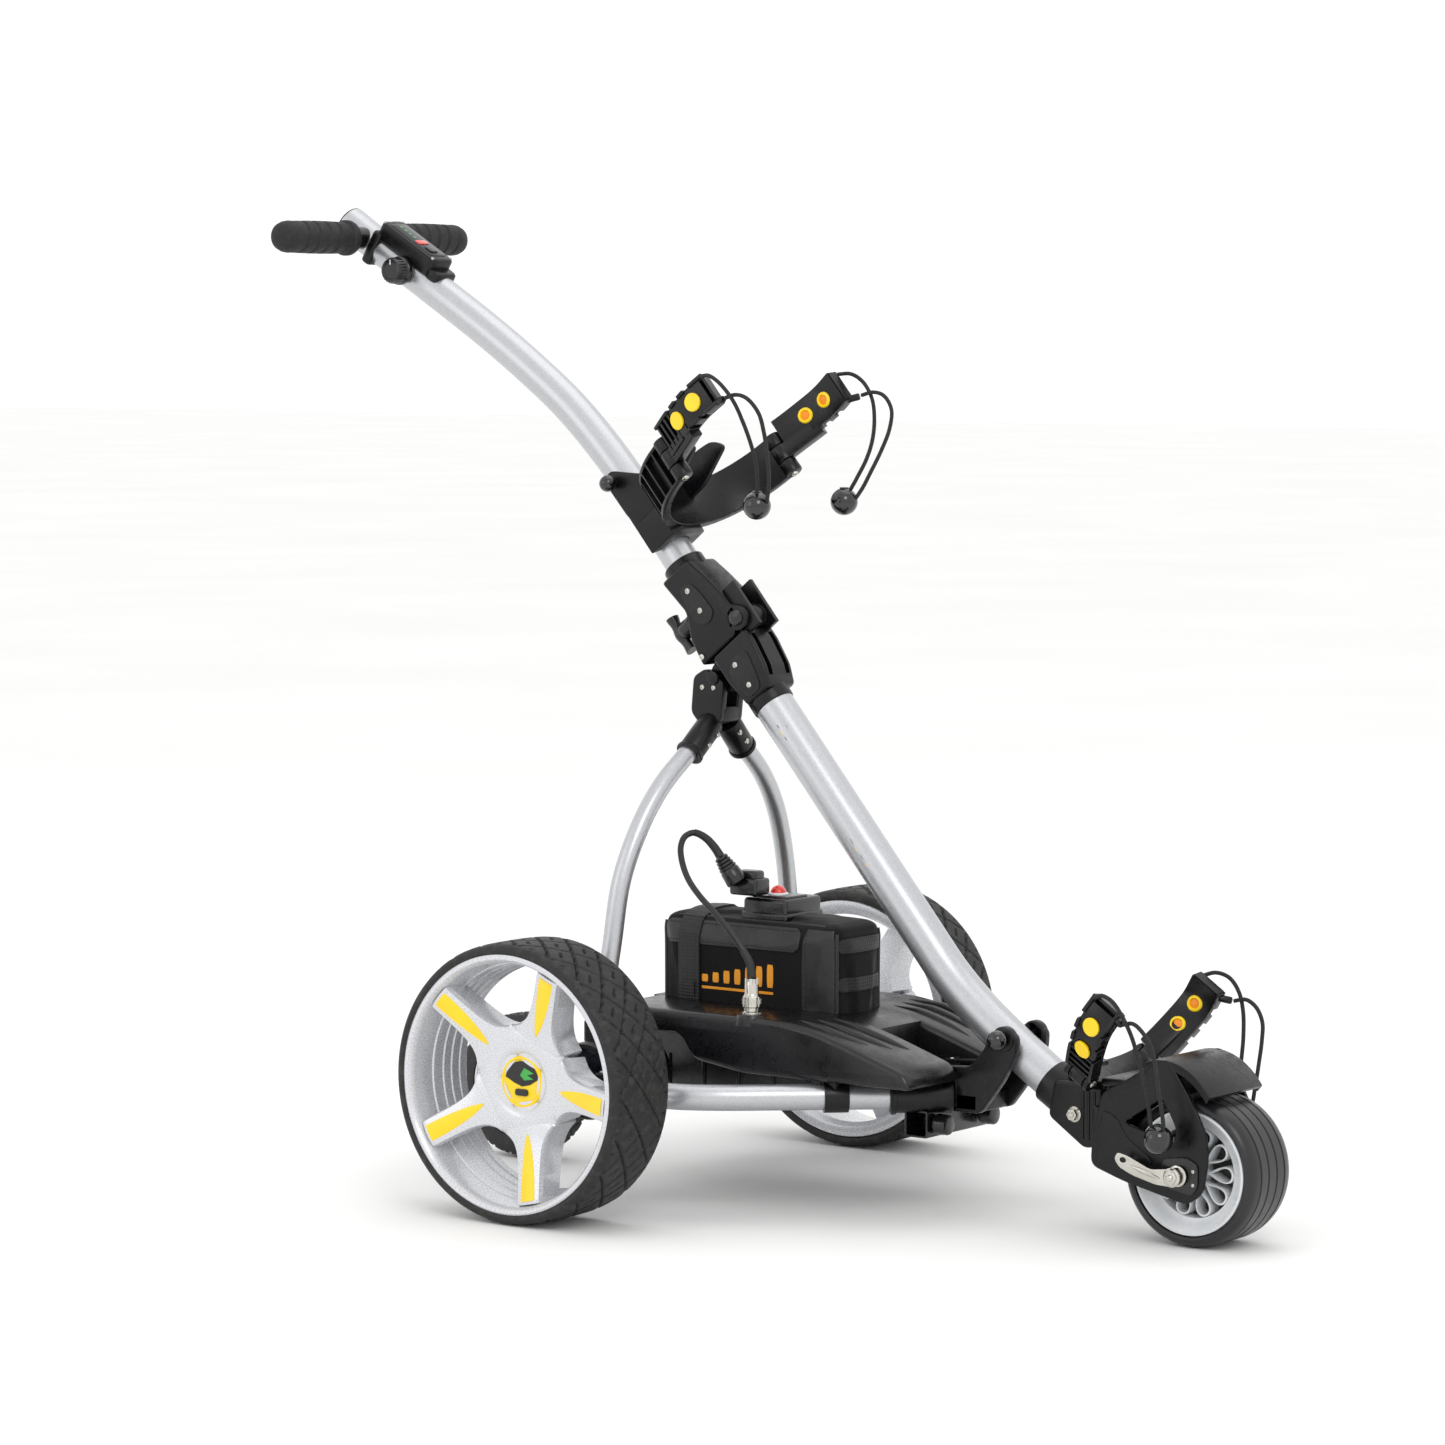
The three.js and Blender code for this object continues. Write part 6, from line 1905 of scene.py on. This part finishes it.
# ---------------------------------------------------------------- chassis
@dataclass
class Chassis:
    """The motor housings on the rear axle, the front bracket and the square accessory receiver."""

    motor_z: float = 117.0
    housing_radius: float = 36.0
    inner_x: float = 99.0
    outer_x: float = 191.0

    def build(self) -> None:
        """Makes every piece of the chassis."""
        for side in Side:
            self.housing(side)
        self.bracket()
        self.receiver()

    def housing(self, side: Side) -> None:
        """A ribbed motor housing with its three tube clamps, its end disc and its screws."""
        x = side.value
        r = self.housing_radius
        length = self.outer_x - self.inner_x
        profile: list[Pair] = [(0, 0), (r - 9, 0), (r - 3, 2), (r, 7)]
        for i in range(5):
            start = 12 + i * 13
            profile += [(r, start), (r - 1.4, start + 1), (r - 1.4, start + 5), (r, start + 6)]
        profile += [(r, length - 5), (r - 1.5, length - 1), (r - 5, length), (0, length)]
        place = facing(Vector((x * self.inner_x, 0, self.motor_z)), Vector((x, 0, 0)))
        form = lathe(profile, place, 72)
        clamps = (((162, -66, 94), (204, -20, 129)), ((138, -9, 147), (166, 21, 171)),
                  ((118, 26, 83), (156, 64, 113)))
        for low, high in clamps:
            form.add(side_box(x, low, high, 4.0, 3))
        emit(f"motor_housing_{side.word}_cast", form, "frame", "casting", [f"motor_housing_{side.word}"])
        end = facing(Vector((x * self.outer_x, 0, self.motor_z)), Vector((x, 0, 0)))
        disc = lathe([(0, -1), (r - 5, -1), (r - 5, 0.8), (r - 7, 1.8), (16, 2.4), (14, 1.6), (0, 1.6)],
                     end, 72)
        emit(f"motor_disc_{side.word}", disc, "frame", "dark_chrome")
        spots = [(Vector((x * px, py, 129)), Vector((0, 0, 1))) for px in (168, 198) for py in (-59, -27)]
        screws(f"housing_screws_{side.word}", "frame", spots, 3.0, "zinc")

    def bracket(self) -> None:
        """The bracket at the front of the chassis: two ears, a base and a socket for each chassis tube."""
        ear = [(-253, 136), (-316, 140), (-332, 158), (-337, 172), (-351, 180), (-366, 171), (-365, 155),
               (-352, 130), (-340, 114), (-327, 97.5), (-253, 97.5)]
        form = both_sides(filleted(ear, 5, 4), 20.5, 29, 1.4)
        for x in (-1, 1):
            form.add(rounded_rod(Vector((x * 20.5, -352, 168)), Vector((x * 30.5, -352, 168)), 11.5, 1.5, 40))
            form.add(rounded_rod(Vector((x * 24, -295, 111)), Vector((x * 62, -250.5, 111)), 15.5, 2.0, 40))
            rim = facing(Vector((x * 58, -255.2, 111)), Vector((x * 38, 44.5, 0)))
            form.add(lathe([(12.5, 0), (16.6, 0), (17, 1), (17, 4), (16.2, 5), (12.5, 5)], rim, 40))
        form.add(box((-29, -326, 97.8), (29, -258, 116), 3.0, 3))
        for k in range(3):
            y = -302 + k * 14
            form.add(box((-30.2, y - 1.2, 102), (30.2, y + 1.2, 133), 0.9, 2))
        emit("chassis_bracket_moulded", form, "frame", "casting", ["chassis_bracket"])
        up = Vector((0, 0, 1))
        spots = [(Vector((x * 46, -269, 126.4)), up) for x in (-1, 1)]
        spots += [(Vector((x * 25, -262, 136)), up) for x in (-1, 1)]
        screws("bracket_screws", "frame", spots, 3.2)
        wraps = Form()
        for x in (-1, 1):
            run = [Vector((x * (86 + 5 * t), -222 + 5.6 * t, 111)) for t in range(4)]
            wraps.add(sweep(run, 14.6, 36))
            wraps.add(side_box(x, (84, -221, 118), (104, -203, 134), 2.0, 2))
        emit("tube_wraps", wraps, "frame", "casting")

    def receiver(self) -> None:
        """The square tube that takes accessories from either end."""
        corners = ((-1, -1), (1, -1), (1, 1), (-1, 1))
        square, hole = ([(u * half, v * half) for u, v in corners] for half in (12.5, 10.5))
        form = prism(filleted(square, 2.4, 4), -50, 50, across(-272, 86), 0.5, [filleted(hole, 1.4, 3)])
        emit("accessory_receiver_tube", form, "frame", "smooth_nylon", ["accessory_receiver"])


@dataclass
class BatteryTray:
    """The moulded tray: two sloping front lobes, high rear sides and the pocket under the battery."""

    half_width: float = 113.5
    tube_gap: float = 29.5

    def build(self) -> None:
        """Makes the tray, its raised ribs and its connector boss."""
        skirt = [(37, 157), (37, 178), (-163, 178), (-205, 172), (-243, 161), (-300, 142), (-308, 126),
                 (-236, 126), (-120, 126), (-66, 134), (-50, 157)]
        middle = [(37, 157), (37, 178), (-163, 178), (-205, 172), (-222, 167), (-222, 126), (-120, 126),
                  (-66, 134), (-50, 157)]
        form = prism(middle, -self.tube_gap - 6, self.tube_gap + 6, across(0, 0), 1.5)
        for x in (-1, 1):
            low, high = sorted((x * self.tube_gap, x * self.half_width))
            lobe = prism(filleted(skirt, 9, 4), low, high, across(0, 0), 6.0)
            corner = rounded_rod(Vector((x * 132, -352, 80)), Vector((x * 132, -352, 200)), 62, 1, 64)
            form.add(carve(lobe, corner))
        form.add(box((-46, -186, 88), (46, 36, 150), 7.0, 4))
        for y in (-150, -110, -70, -30, 10):
            for x in (-1, 1):
                form.add(side_box(x, (44, y - 2, 94), (47.6, y + 2, 126), 0.9, 2))
        form.add(lathe([(0, 170), (16, 170), (14.6, 176), (13, 179.4), (11.8, 180), (9, 180), (8.6, 178.6),
                        (0, 178.6)],
                       Matrix.Translation((-100, -124, 0)), 48))
        emit("battery_tray_moulded", form, "frame", "tray", ["battery_tray"])
        self.ribs(skirt)

    def ribs(self, skirt: Profile) -> None:
        """Raised curved ribs that follow the lobes' slope and thin out at both ends."""
        form = Form()
        for x in (-1, 1):
            for k, (lateral, start, end) in enumerate(((50, -176, -268), (68, -172, -262), (87, -168, -248))):
                path = []
                for i in range(25):
                    y = start + (end - start) * i / 24
                    bow = 9 * math.sin(math.pi * i / 24) * (1 if k else 0.6)
                    path.append(Vector((x * (lateral + bow), y, self.height(skirt, y) - 1.0)))
                form.add(sweep(path, lambda share: 0.4 + 4.0 * math.sin(math.pi * share) ** 0.7, 20))
        emit("tray_ribs", form, "frame", "tray")

    def height(self, skirt: Profile, y: float) -> float:
        """The lobe's top at a distance along the trolley."""
        top = [p for p in skirt if p[1] >= 142 and p[0] < 30][::-1]
        for (y0, z0), (y1, z1) in zip(top, top[1:]):
            if y0 <= y <= y1:
                return z0 + (z1 - z0) * (y - y0) / (y1 - y0)
        return 178.0


# ---------------------------------------------------------------- battery
@dataclass
class BatteryCase:
    """The padded neoprene case with its trims, straps, stitches and the socket box on its top."""

    half_width: float = 41.0
    back: float = 30.0
    front: float = -180.0
    bottom: float = 93.0
    top: float = 262.0
    swell: float = 2.6
    voxel: float = 5.0
    ray_side: float = 80.0
    ray_front: float = -260.0
    ray_top: float = 320.0
    miss_depth: float = 39.0

    def build(self) -> None:
        """Makes the case, then everything that lies on it."""
        case = self.padded_case()
        graph = bpy.context.evaluated_depsgraph_get()
        self.skin = BVHTree.FromObject(case, graph)
        self.trims()
        self.straps()
        self.print_marks()
        self.socket_box()

    def padded_case(self) -> bpy.types.Object:
        """The case, swollen from a smaller block by a short cloth simulation."""
        s = self.swell
        block = box((-self.half_width + s, self.front + s, self.bottom + s),
                    (self.half_width - s, self.back - s, self.top - s), 11, 4)
        block = self.inflated(block)
        return emit("battery_case_padded", block, "frame", "neoprene", ["battery_pack"], 80)

    def inflated(self, block: Form) -> Form:
        """A block blown up by cloth pressure, with no point moved further than the swell."""
        block.moved(Matrix.Scale(MM, 4))
        mesh = bpy.data.meshes.new("case_start")
        block.mesh.to_mesh(mesh)
        pad = placed("case_start", mesh)
        remesh = pad.modifiers.new("remesh", "REMESH")
        remesh.mode = "VOXEL"
        remesh.voxel_size = self.voxel * MM
        even = evaluated(pad)
        pad.modifiers.clear()
        pad.data = even
        start = [v.co.copy() for v in even.vertices]
        cloth = pad.modifiers.new("cloth", "CLOTH")
        cloth.settings.use_pressure = True
        cloth.settings.uniform_pressure_force = 4.0
        cloth.settings.effector_weights.gravity = 0
        scene = bpy.context.scene
        for step in range(1, 21):
            scene.frame_set(step)
        swollen = evaluated(pad)
        scene.frame_set(1)
        for vert, before in zip(swollen.vertices, start):
            move = vert.co - before
            if move.length > self.swell * MM:
                vert.co = before + move.normalized() * self.swell * MM
        form = Form()
        form.mesh.from_mesh(swollen)
        form.moved(Matrix.Scale(1 / MM, 4))
        bmesh.ops.subdivide_edges(form.mesh, edges=form.mesh.edges, cuts=1, use_grid_fill=True, smooth=0.6)
        bpy.data.objects.remove(pad)
        return form

    def hit(self, origin: Vector, direction: Vector) -> Vector:
        """The point on the case's skin that a ray meets, in millimetres in the axle frame."""
        place, _, _, _ = self.skin.ray_cast(TO_FRAME @ origin, direction)
        return TO_FRAME.inverted() @ place if place is not None else origin + direction * self.miss_depth

    def laid(self, corners: tuple[Pair, Pair], direction: Vector, thickness: float, steps: tuple[int, int],
             round_ends: float = 0.0) -> Form:
        """A thin patch that lies on the case's skin.

        Args:
            corners: the patch's lowest and highest pair across the direction: (y, z) on a side, (x, z) on
                the front, and (x, y) on the top.
            direction: from outside towards the skin.
            thickness: the patch's thickness.
            steps: the number of steps each way.
            round_ends: how far the first end's corners are rounded in.
        """
        (a0, b0), (a1, b1) = corners
        rows = []
        for i in range(steps[0] + 1):
            row = []
            for j in range(steps[1] + 1):
                b = b0 + (b1 - b0) * j / steps[1]
                lean = round_ends * (2 * j / steps[1] - 1) ** 4
                a = a0 + lean + (a1 - a0 - 2 * lean) * i / steps[0]
                if abs(direction.x) > 0.5:
                    origin = Vector((-direction.x * self.ray_side, a, b))
                elif abs(direction.y) > 0.5:
                    origin = Vector((a, self.ray_front, b))
                else:
                    origin = Vector((a, b, self.ray_top))
                row.append(self.hit(origin, direction))
            rows.append(row)
        form = Form()
        outer = [[form.mesh.verts.new(p - direction * thickness) for p in row] for row in rows]
        inner = [[form.mesh.verts.new(p + direction * 1.0) for p in row] for row in rows]
        last, wide = steps
        for i in range(last):
            for j in range(wide):
                form.mesh.faces.new((outer[i][j], outer[i + 1][j], outer[i + 1][j + 1], outer[i][j + 1]))
                form.mesh.faces.new((inner[i][j + 1], inner[i + 1][j + 1], inner[i + 1][j], inner[i][j]))
        ring = [(i, 0) for i in range(last)] + [(last, j) for j in range(wide)]
        ring += [(i, wide) for i in range(last, 0, -1)] + [(0, j) for j in range(wide, 0, -1)]
        for (i, j), (k, m) in zip(ring, ring[1:] + ring[:1]):
            form.mesh.faces.new((outer[i][j], outer[k][m], inner[k][m], inner[i][j]))
        return form.outward()

    def stitches(self, name: str, path: Sequence[Vector], pitch: float = 4.2) -> None:
        """A row of raised stitches along a path."""
        capsule = rounded_rod(Vector((0, 0, -1.5)), Vector((0, 0, 1.5)), 0.55, 0.3, 8)
        repeated(name, Repeat.ALONG, capsule, "thread", "frame", path=path, pitch=pitch)

    def side_line(self, x: int, y0: float, y1: float, z0: float, z1: float, lift: float) -> list[Vector]:
        """A line on a side of the case, lifted off its skin."""
        ray = Vector((-x, 0, 0))
        start, end = Vector((x * self.ray_side, y0, z0)), Vector((x * self.ray_side, y1, z1))
        return [self.hit(start.lerp(end, i / 30), ray) - ray * lift for i in range(31)]

    def trims(self) -> None:
        """The leather-look bands and corner patches, their stitches and the piping at the corners."""
        for x in (-1, 1):
            word = Side(x).word
            ray = Vector((-x, 0, 0))
            band = self.laid(((-136, 231), (20, 253)), ray, 1.2, (48, 8), 7)
            band.add(self.laid(((-173, 148), (-139, 253)), ray, 1.0, (14, 30), 3))
            emit(f"case_band_{word}", band, "frame", "vinyl")
            for tag, z in (("high", 250.4), ("low", 233.6)):
                self.stitches(f"case_stitches_{tag}_{word}", self.side_line(x, -130, 14, z, z, 1.3))
            self.stitches(f"case_stitches_patch_{word}", self.side_line(x, -142, -142, 152, 248, 1.1))
            for y, tag in ((self.front, "front"), (self.back, "back")):
                sense = 1 if y < 0 else -1
                ray = Vector((-x, sense, 0)).normalized()
                edge = [self.hit(Vector((x * 100, y - sense * 59, z)), ray) - ray * 0.6
                        for z in range(110, 251, 7)]
                emit(f"case_piping_{tag}_{word}", sweep(smooth_path(edge, 60), 1.9, 14), "frame", "vinyl")
        right = Vector((1, 0, 0))
        zip_line = [self.hit(Vector((-self.ray_side, y, 256)), right) - right * 0.4
                    for y in range(-160, 12, 6)]
        emit("case_zip_seam", sweep(zip_line, 1.3, 10), "frame", "thread")

    def straps(self) -> None:
        """The webbing over the near side and the top, the narrow strap under it and the front straps."""
        right = Vector((1, 0, 0))
        wide = self.laid(((-22, 164), (2, 256)), right, 2.4, (8, 34))
        wide.add(self.laid(((-34, -22), (34, 2)), Vector((0, 0, -1)), 2.0, (26, 8)))
        emit("case_strap_wide", wide, "frame", "webbing")
        narrow = self.laid(((-17, 182), (-5, 196)), right, 3.6, (6, 4))
        narrow.add(self.laid(((-16, 120), (-5, 168)), right, 1.6, (6, 16)))
        emit("case_strap_narrow", narrow, "frame", "webbing")
        for tag, z in (("low", 168), ("high", 174)):
            self.stitches(f"case_strap_stitches_{tag}", self.side_line(-1, -20, 0, z, z, 2.5), 3.0)
        front = Form()
        for z in (142, 196, 232):
            front.add(self.laid(((-33, z), (33, z + 13)), Vector((0, 1, 0)), 1.5, (26, 5), 3))
        emit("case_front_straps", front, "frame", "webbing")

    def print_marks(self) -> None:
        """A plain row of charge bars printed on both sides, longest at one end."""
        for x in (-1, 1):
            form = Form()
            for k in range(7):
                y = -24 - k * 12.5
                form.add(self.laid(((y - 7, 196), (y, 203 + 2.4 * k)), Vector((-x, 0, 0)), 0.25, (5, 8), 0.8))
            form.add(self.laid(((-106, 189.5), (-24, 192)), Vector((-x, 0, 0)), 0.25, (26, 2)))
            emit(f"case_print_{Side(x).word}", form, "frame", "print")

    def socket_box(self) -> None:
        """The socket box on the case with its lid line, its red lamp and two screws."""
        form = box((-29, -112, 256), (29, -62, 277), 4.0, 4)
        form.add(box((-30.2, -113.2, 256), (30.2, -60.8, 264), 2.4, 3))
        form.add(box((-22, -108, 276), (12, -68, 279), 2.0, 3))
        emit("socket_box_moulded", form, "frame", "smooth_nylon")
        lamp = Matrix.Translation((-8, -88, 279))
        emit("lamp_collar", lathe([(0, -1), (9.6, -1), (9.6, 1.2), (8.8, 2.0), (7.6, 2.2), (0, 2.2)], lamp,
                                  48),
             "frame", "white")
        dome = [(0, 1)] + [(7.6 * math.cos(a), 1.6 + 7.2 * math.sin(a)) for a in
                           (math.radians(90 * i / 14) for i in range(14))] + [(0, 8.8)]
        emit("lamp_dome", lathe(dome, lamp, 48), "frame", "red_lens")
        spots = [(Vector((20, y, 277)), Vector((0, 0, 1))) for y in (-105, -69)]
        screws("socket_box_screws", "frame", spots, 2.0, "zinc")


def dress_kept_nodes() -> None:
    """Gives each CAD node that is still shown its finish."""
    kept = {"motor_right": "zinc", "motor_left": "zinc", "rear_axle_right": "zinc", "rear_axle_left": "zinc",
            "anti_tip_arm": "casting"}
    for name, finish in kept.items():
        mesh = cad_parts[name].data
        mesh.materials.clear()
        mesh.materials.append(PAINT[finish])
        LOG.info("%s keeps its own shape", name)


# ---------------------------------------------------------------- studio
@dataclass
class Studio:
    """The camera at the trolley's front right, a pale floor and soft lights."""

    focal_mm: float = 123.8
    position: Vector = field(default_factory=lambda: Vector((-3761.7, -2768.0, 812.6)))
    yaw_deg: float = 53.824
    pitch_deg: float = 4.619
    roll_deg: float = 0.101

    def camera(self) -> None:
        """Adds the camera and makes it the scene's own."""
        data = bpy.data.cameras.new("camera")
        data.lens = self.focal_mm
        data.sensor_width = 36
        data.clip_end = 60
        holder = placed("camera", data)
        yaw, pitch, roll = (math.radians(v) for v in (self.yaw_deg, self.pitch_deg, self.roll_deg))
        ahead = Vector((math.sin(yaw) * math.cos(pitch), math.cos(yaw) * math.cos(pitch), -math.sin(pitch)))
        right = Vector((math.cos(yaw), -math.sin(yaw), 0))
        up = right.cross(ahead)
        turned_right = right * math.cos(roll) + up * math.sin(roll)
        turned_up = up * math.cos(roll) - right * math.sin(roll)
        holder.matrix_world = basis(turned_right, turned_up, -ahead, TO_FRAME @ self.position)
        bpy.context.scene.camera = holder

    def floor(self) -> None:
        """Adds the pale floor."""
        mesh = bpy.data.meshes.new("floor")
        reach = 30
        corners = [(-reach, -reach, 0), (reach, -reach, 0), (reach, reach, 0), (-reach, reach, 0)]
        mesh.from_pydata(corners, [], [(0, 1, 2, 3)])
        mesh.materials.append(Finish("pale_studio_floor", "#f4f4f3", "#f0f0ef", 0.85, 0.02, mottle_mm=900.0,
                                     grain_mm=40.0, grain_depth_mm=0.0).make())
        placed("floor", mesh)

    def lights(self) -> None:
        """Adds a bright sky and three broad soft lights."""
        world = bpy.data.worlds.new("studio")
        bpy.context.scene.world = world
        bpy.context.scene.view_settings.view_transform = "Standard"
        world.use_nodes = True
        background = world.node_tree.nodes["Background"]
        background.inputs[0].default_value = (1.0, 1.0, 1.0, 1)
        background.inputs[1].default_value = 1.1
        for name, place, size, power in (("key", (-2.2, -2.6, 2.8), 1.6, 30),
                                         ("fill", (-3.2, 1.6, 1.6), 1.8, 8),
                                         ("top", (0.6, -0.2, 3.4), 2.4, 14)):
            light = bpy.data.lights.new(name, "AREA")
            light.shape = "SQUARE"
            light.size = size
            light.energy = power
            aim = Vector((0, 0, 0.45)) - Vector(place)
            placed(name, light).matrix_world = facing(Vector(place), -aim)


def write_sizes() -> None:
    """Brings the view layer up to date."""
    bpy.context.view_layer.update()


def main() -> None:
    """Builds the trolley from its sub-assemblies, then the studio."""
    logging.basicConfig(level=logging.INFO, format="%(message)s")
    studio = Studio()
    studio.camera()
    for side in Side:
        UPPER_BUNGEE.build(side)
        LOWER_BUNGEE.build(side)
    BatteryLead().build()
    Tubes().build()
    FoldingHinge().build()
    for side in Side:
        RearWheel().build(side)
    FrontWheel(-549, 67, 67, 72, 56.5).build()
    AntiTipWheel(220, 72, 69, 38, 50).build()
    for support in bag_supports():
        support.build()
    ClampKnobs().build()
    FrontFork().build()
    Handle().build()
    Chassis().build()
    BatteryTray().build()
    BatteryCase().build()
    dress_kept_nodes()
    studio.floor()
    studio.lights()
    write_sizes()


if __name__ == "__main__":
    main()
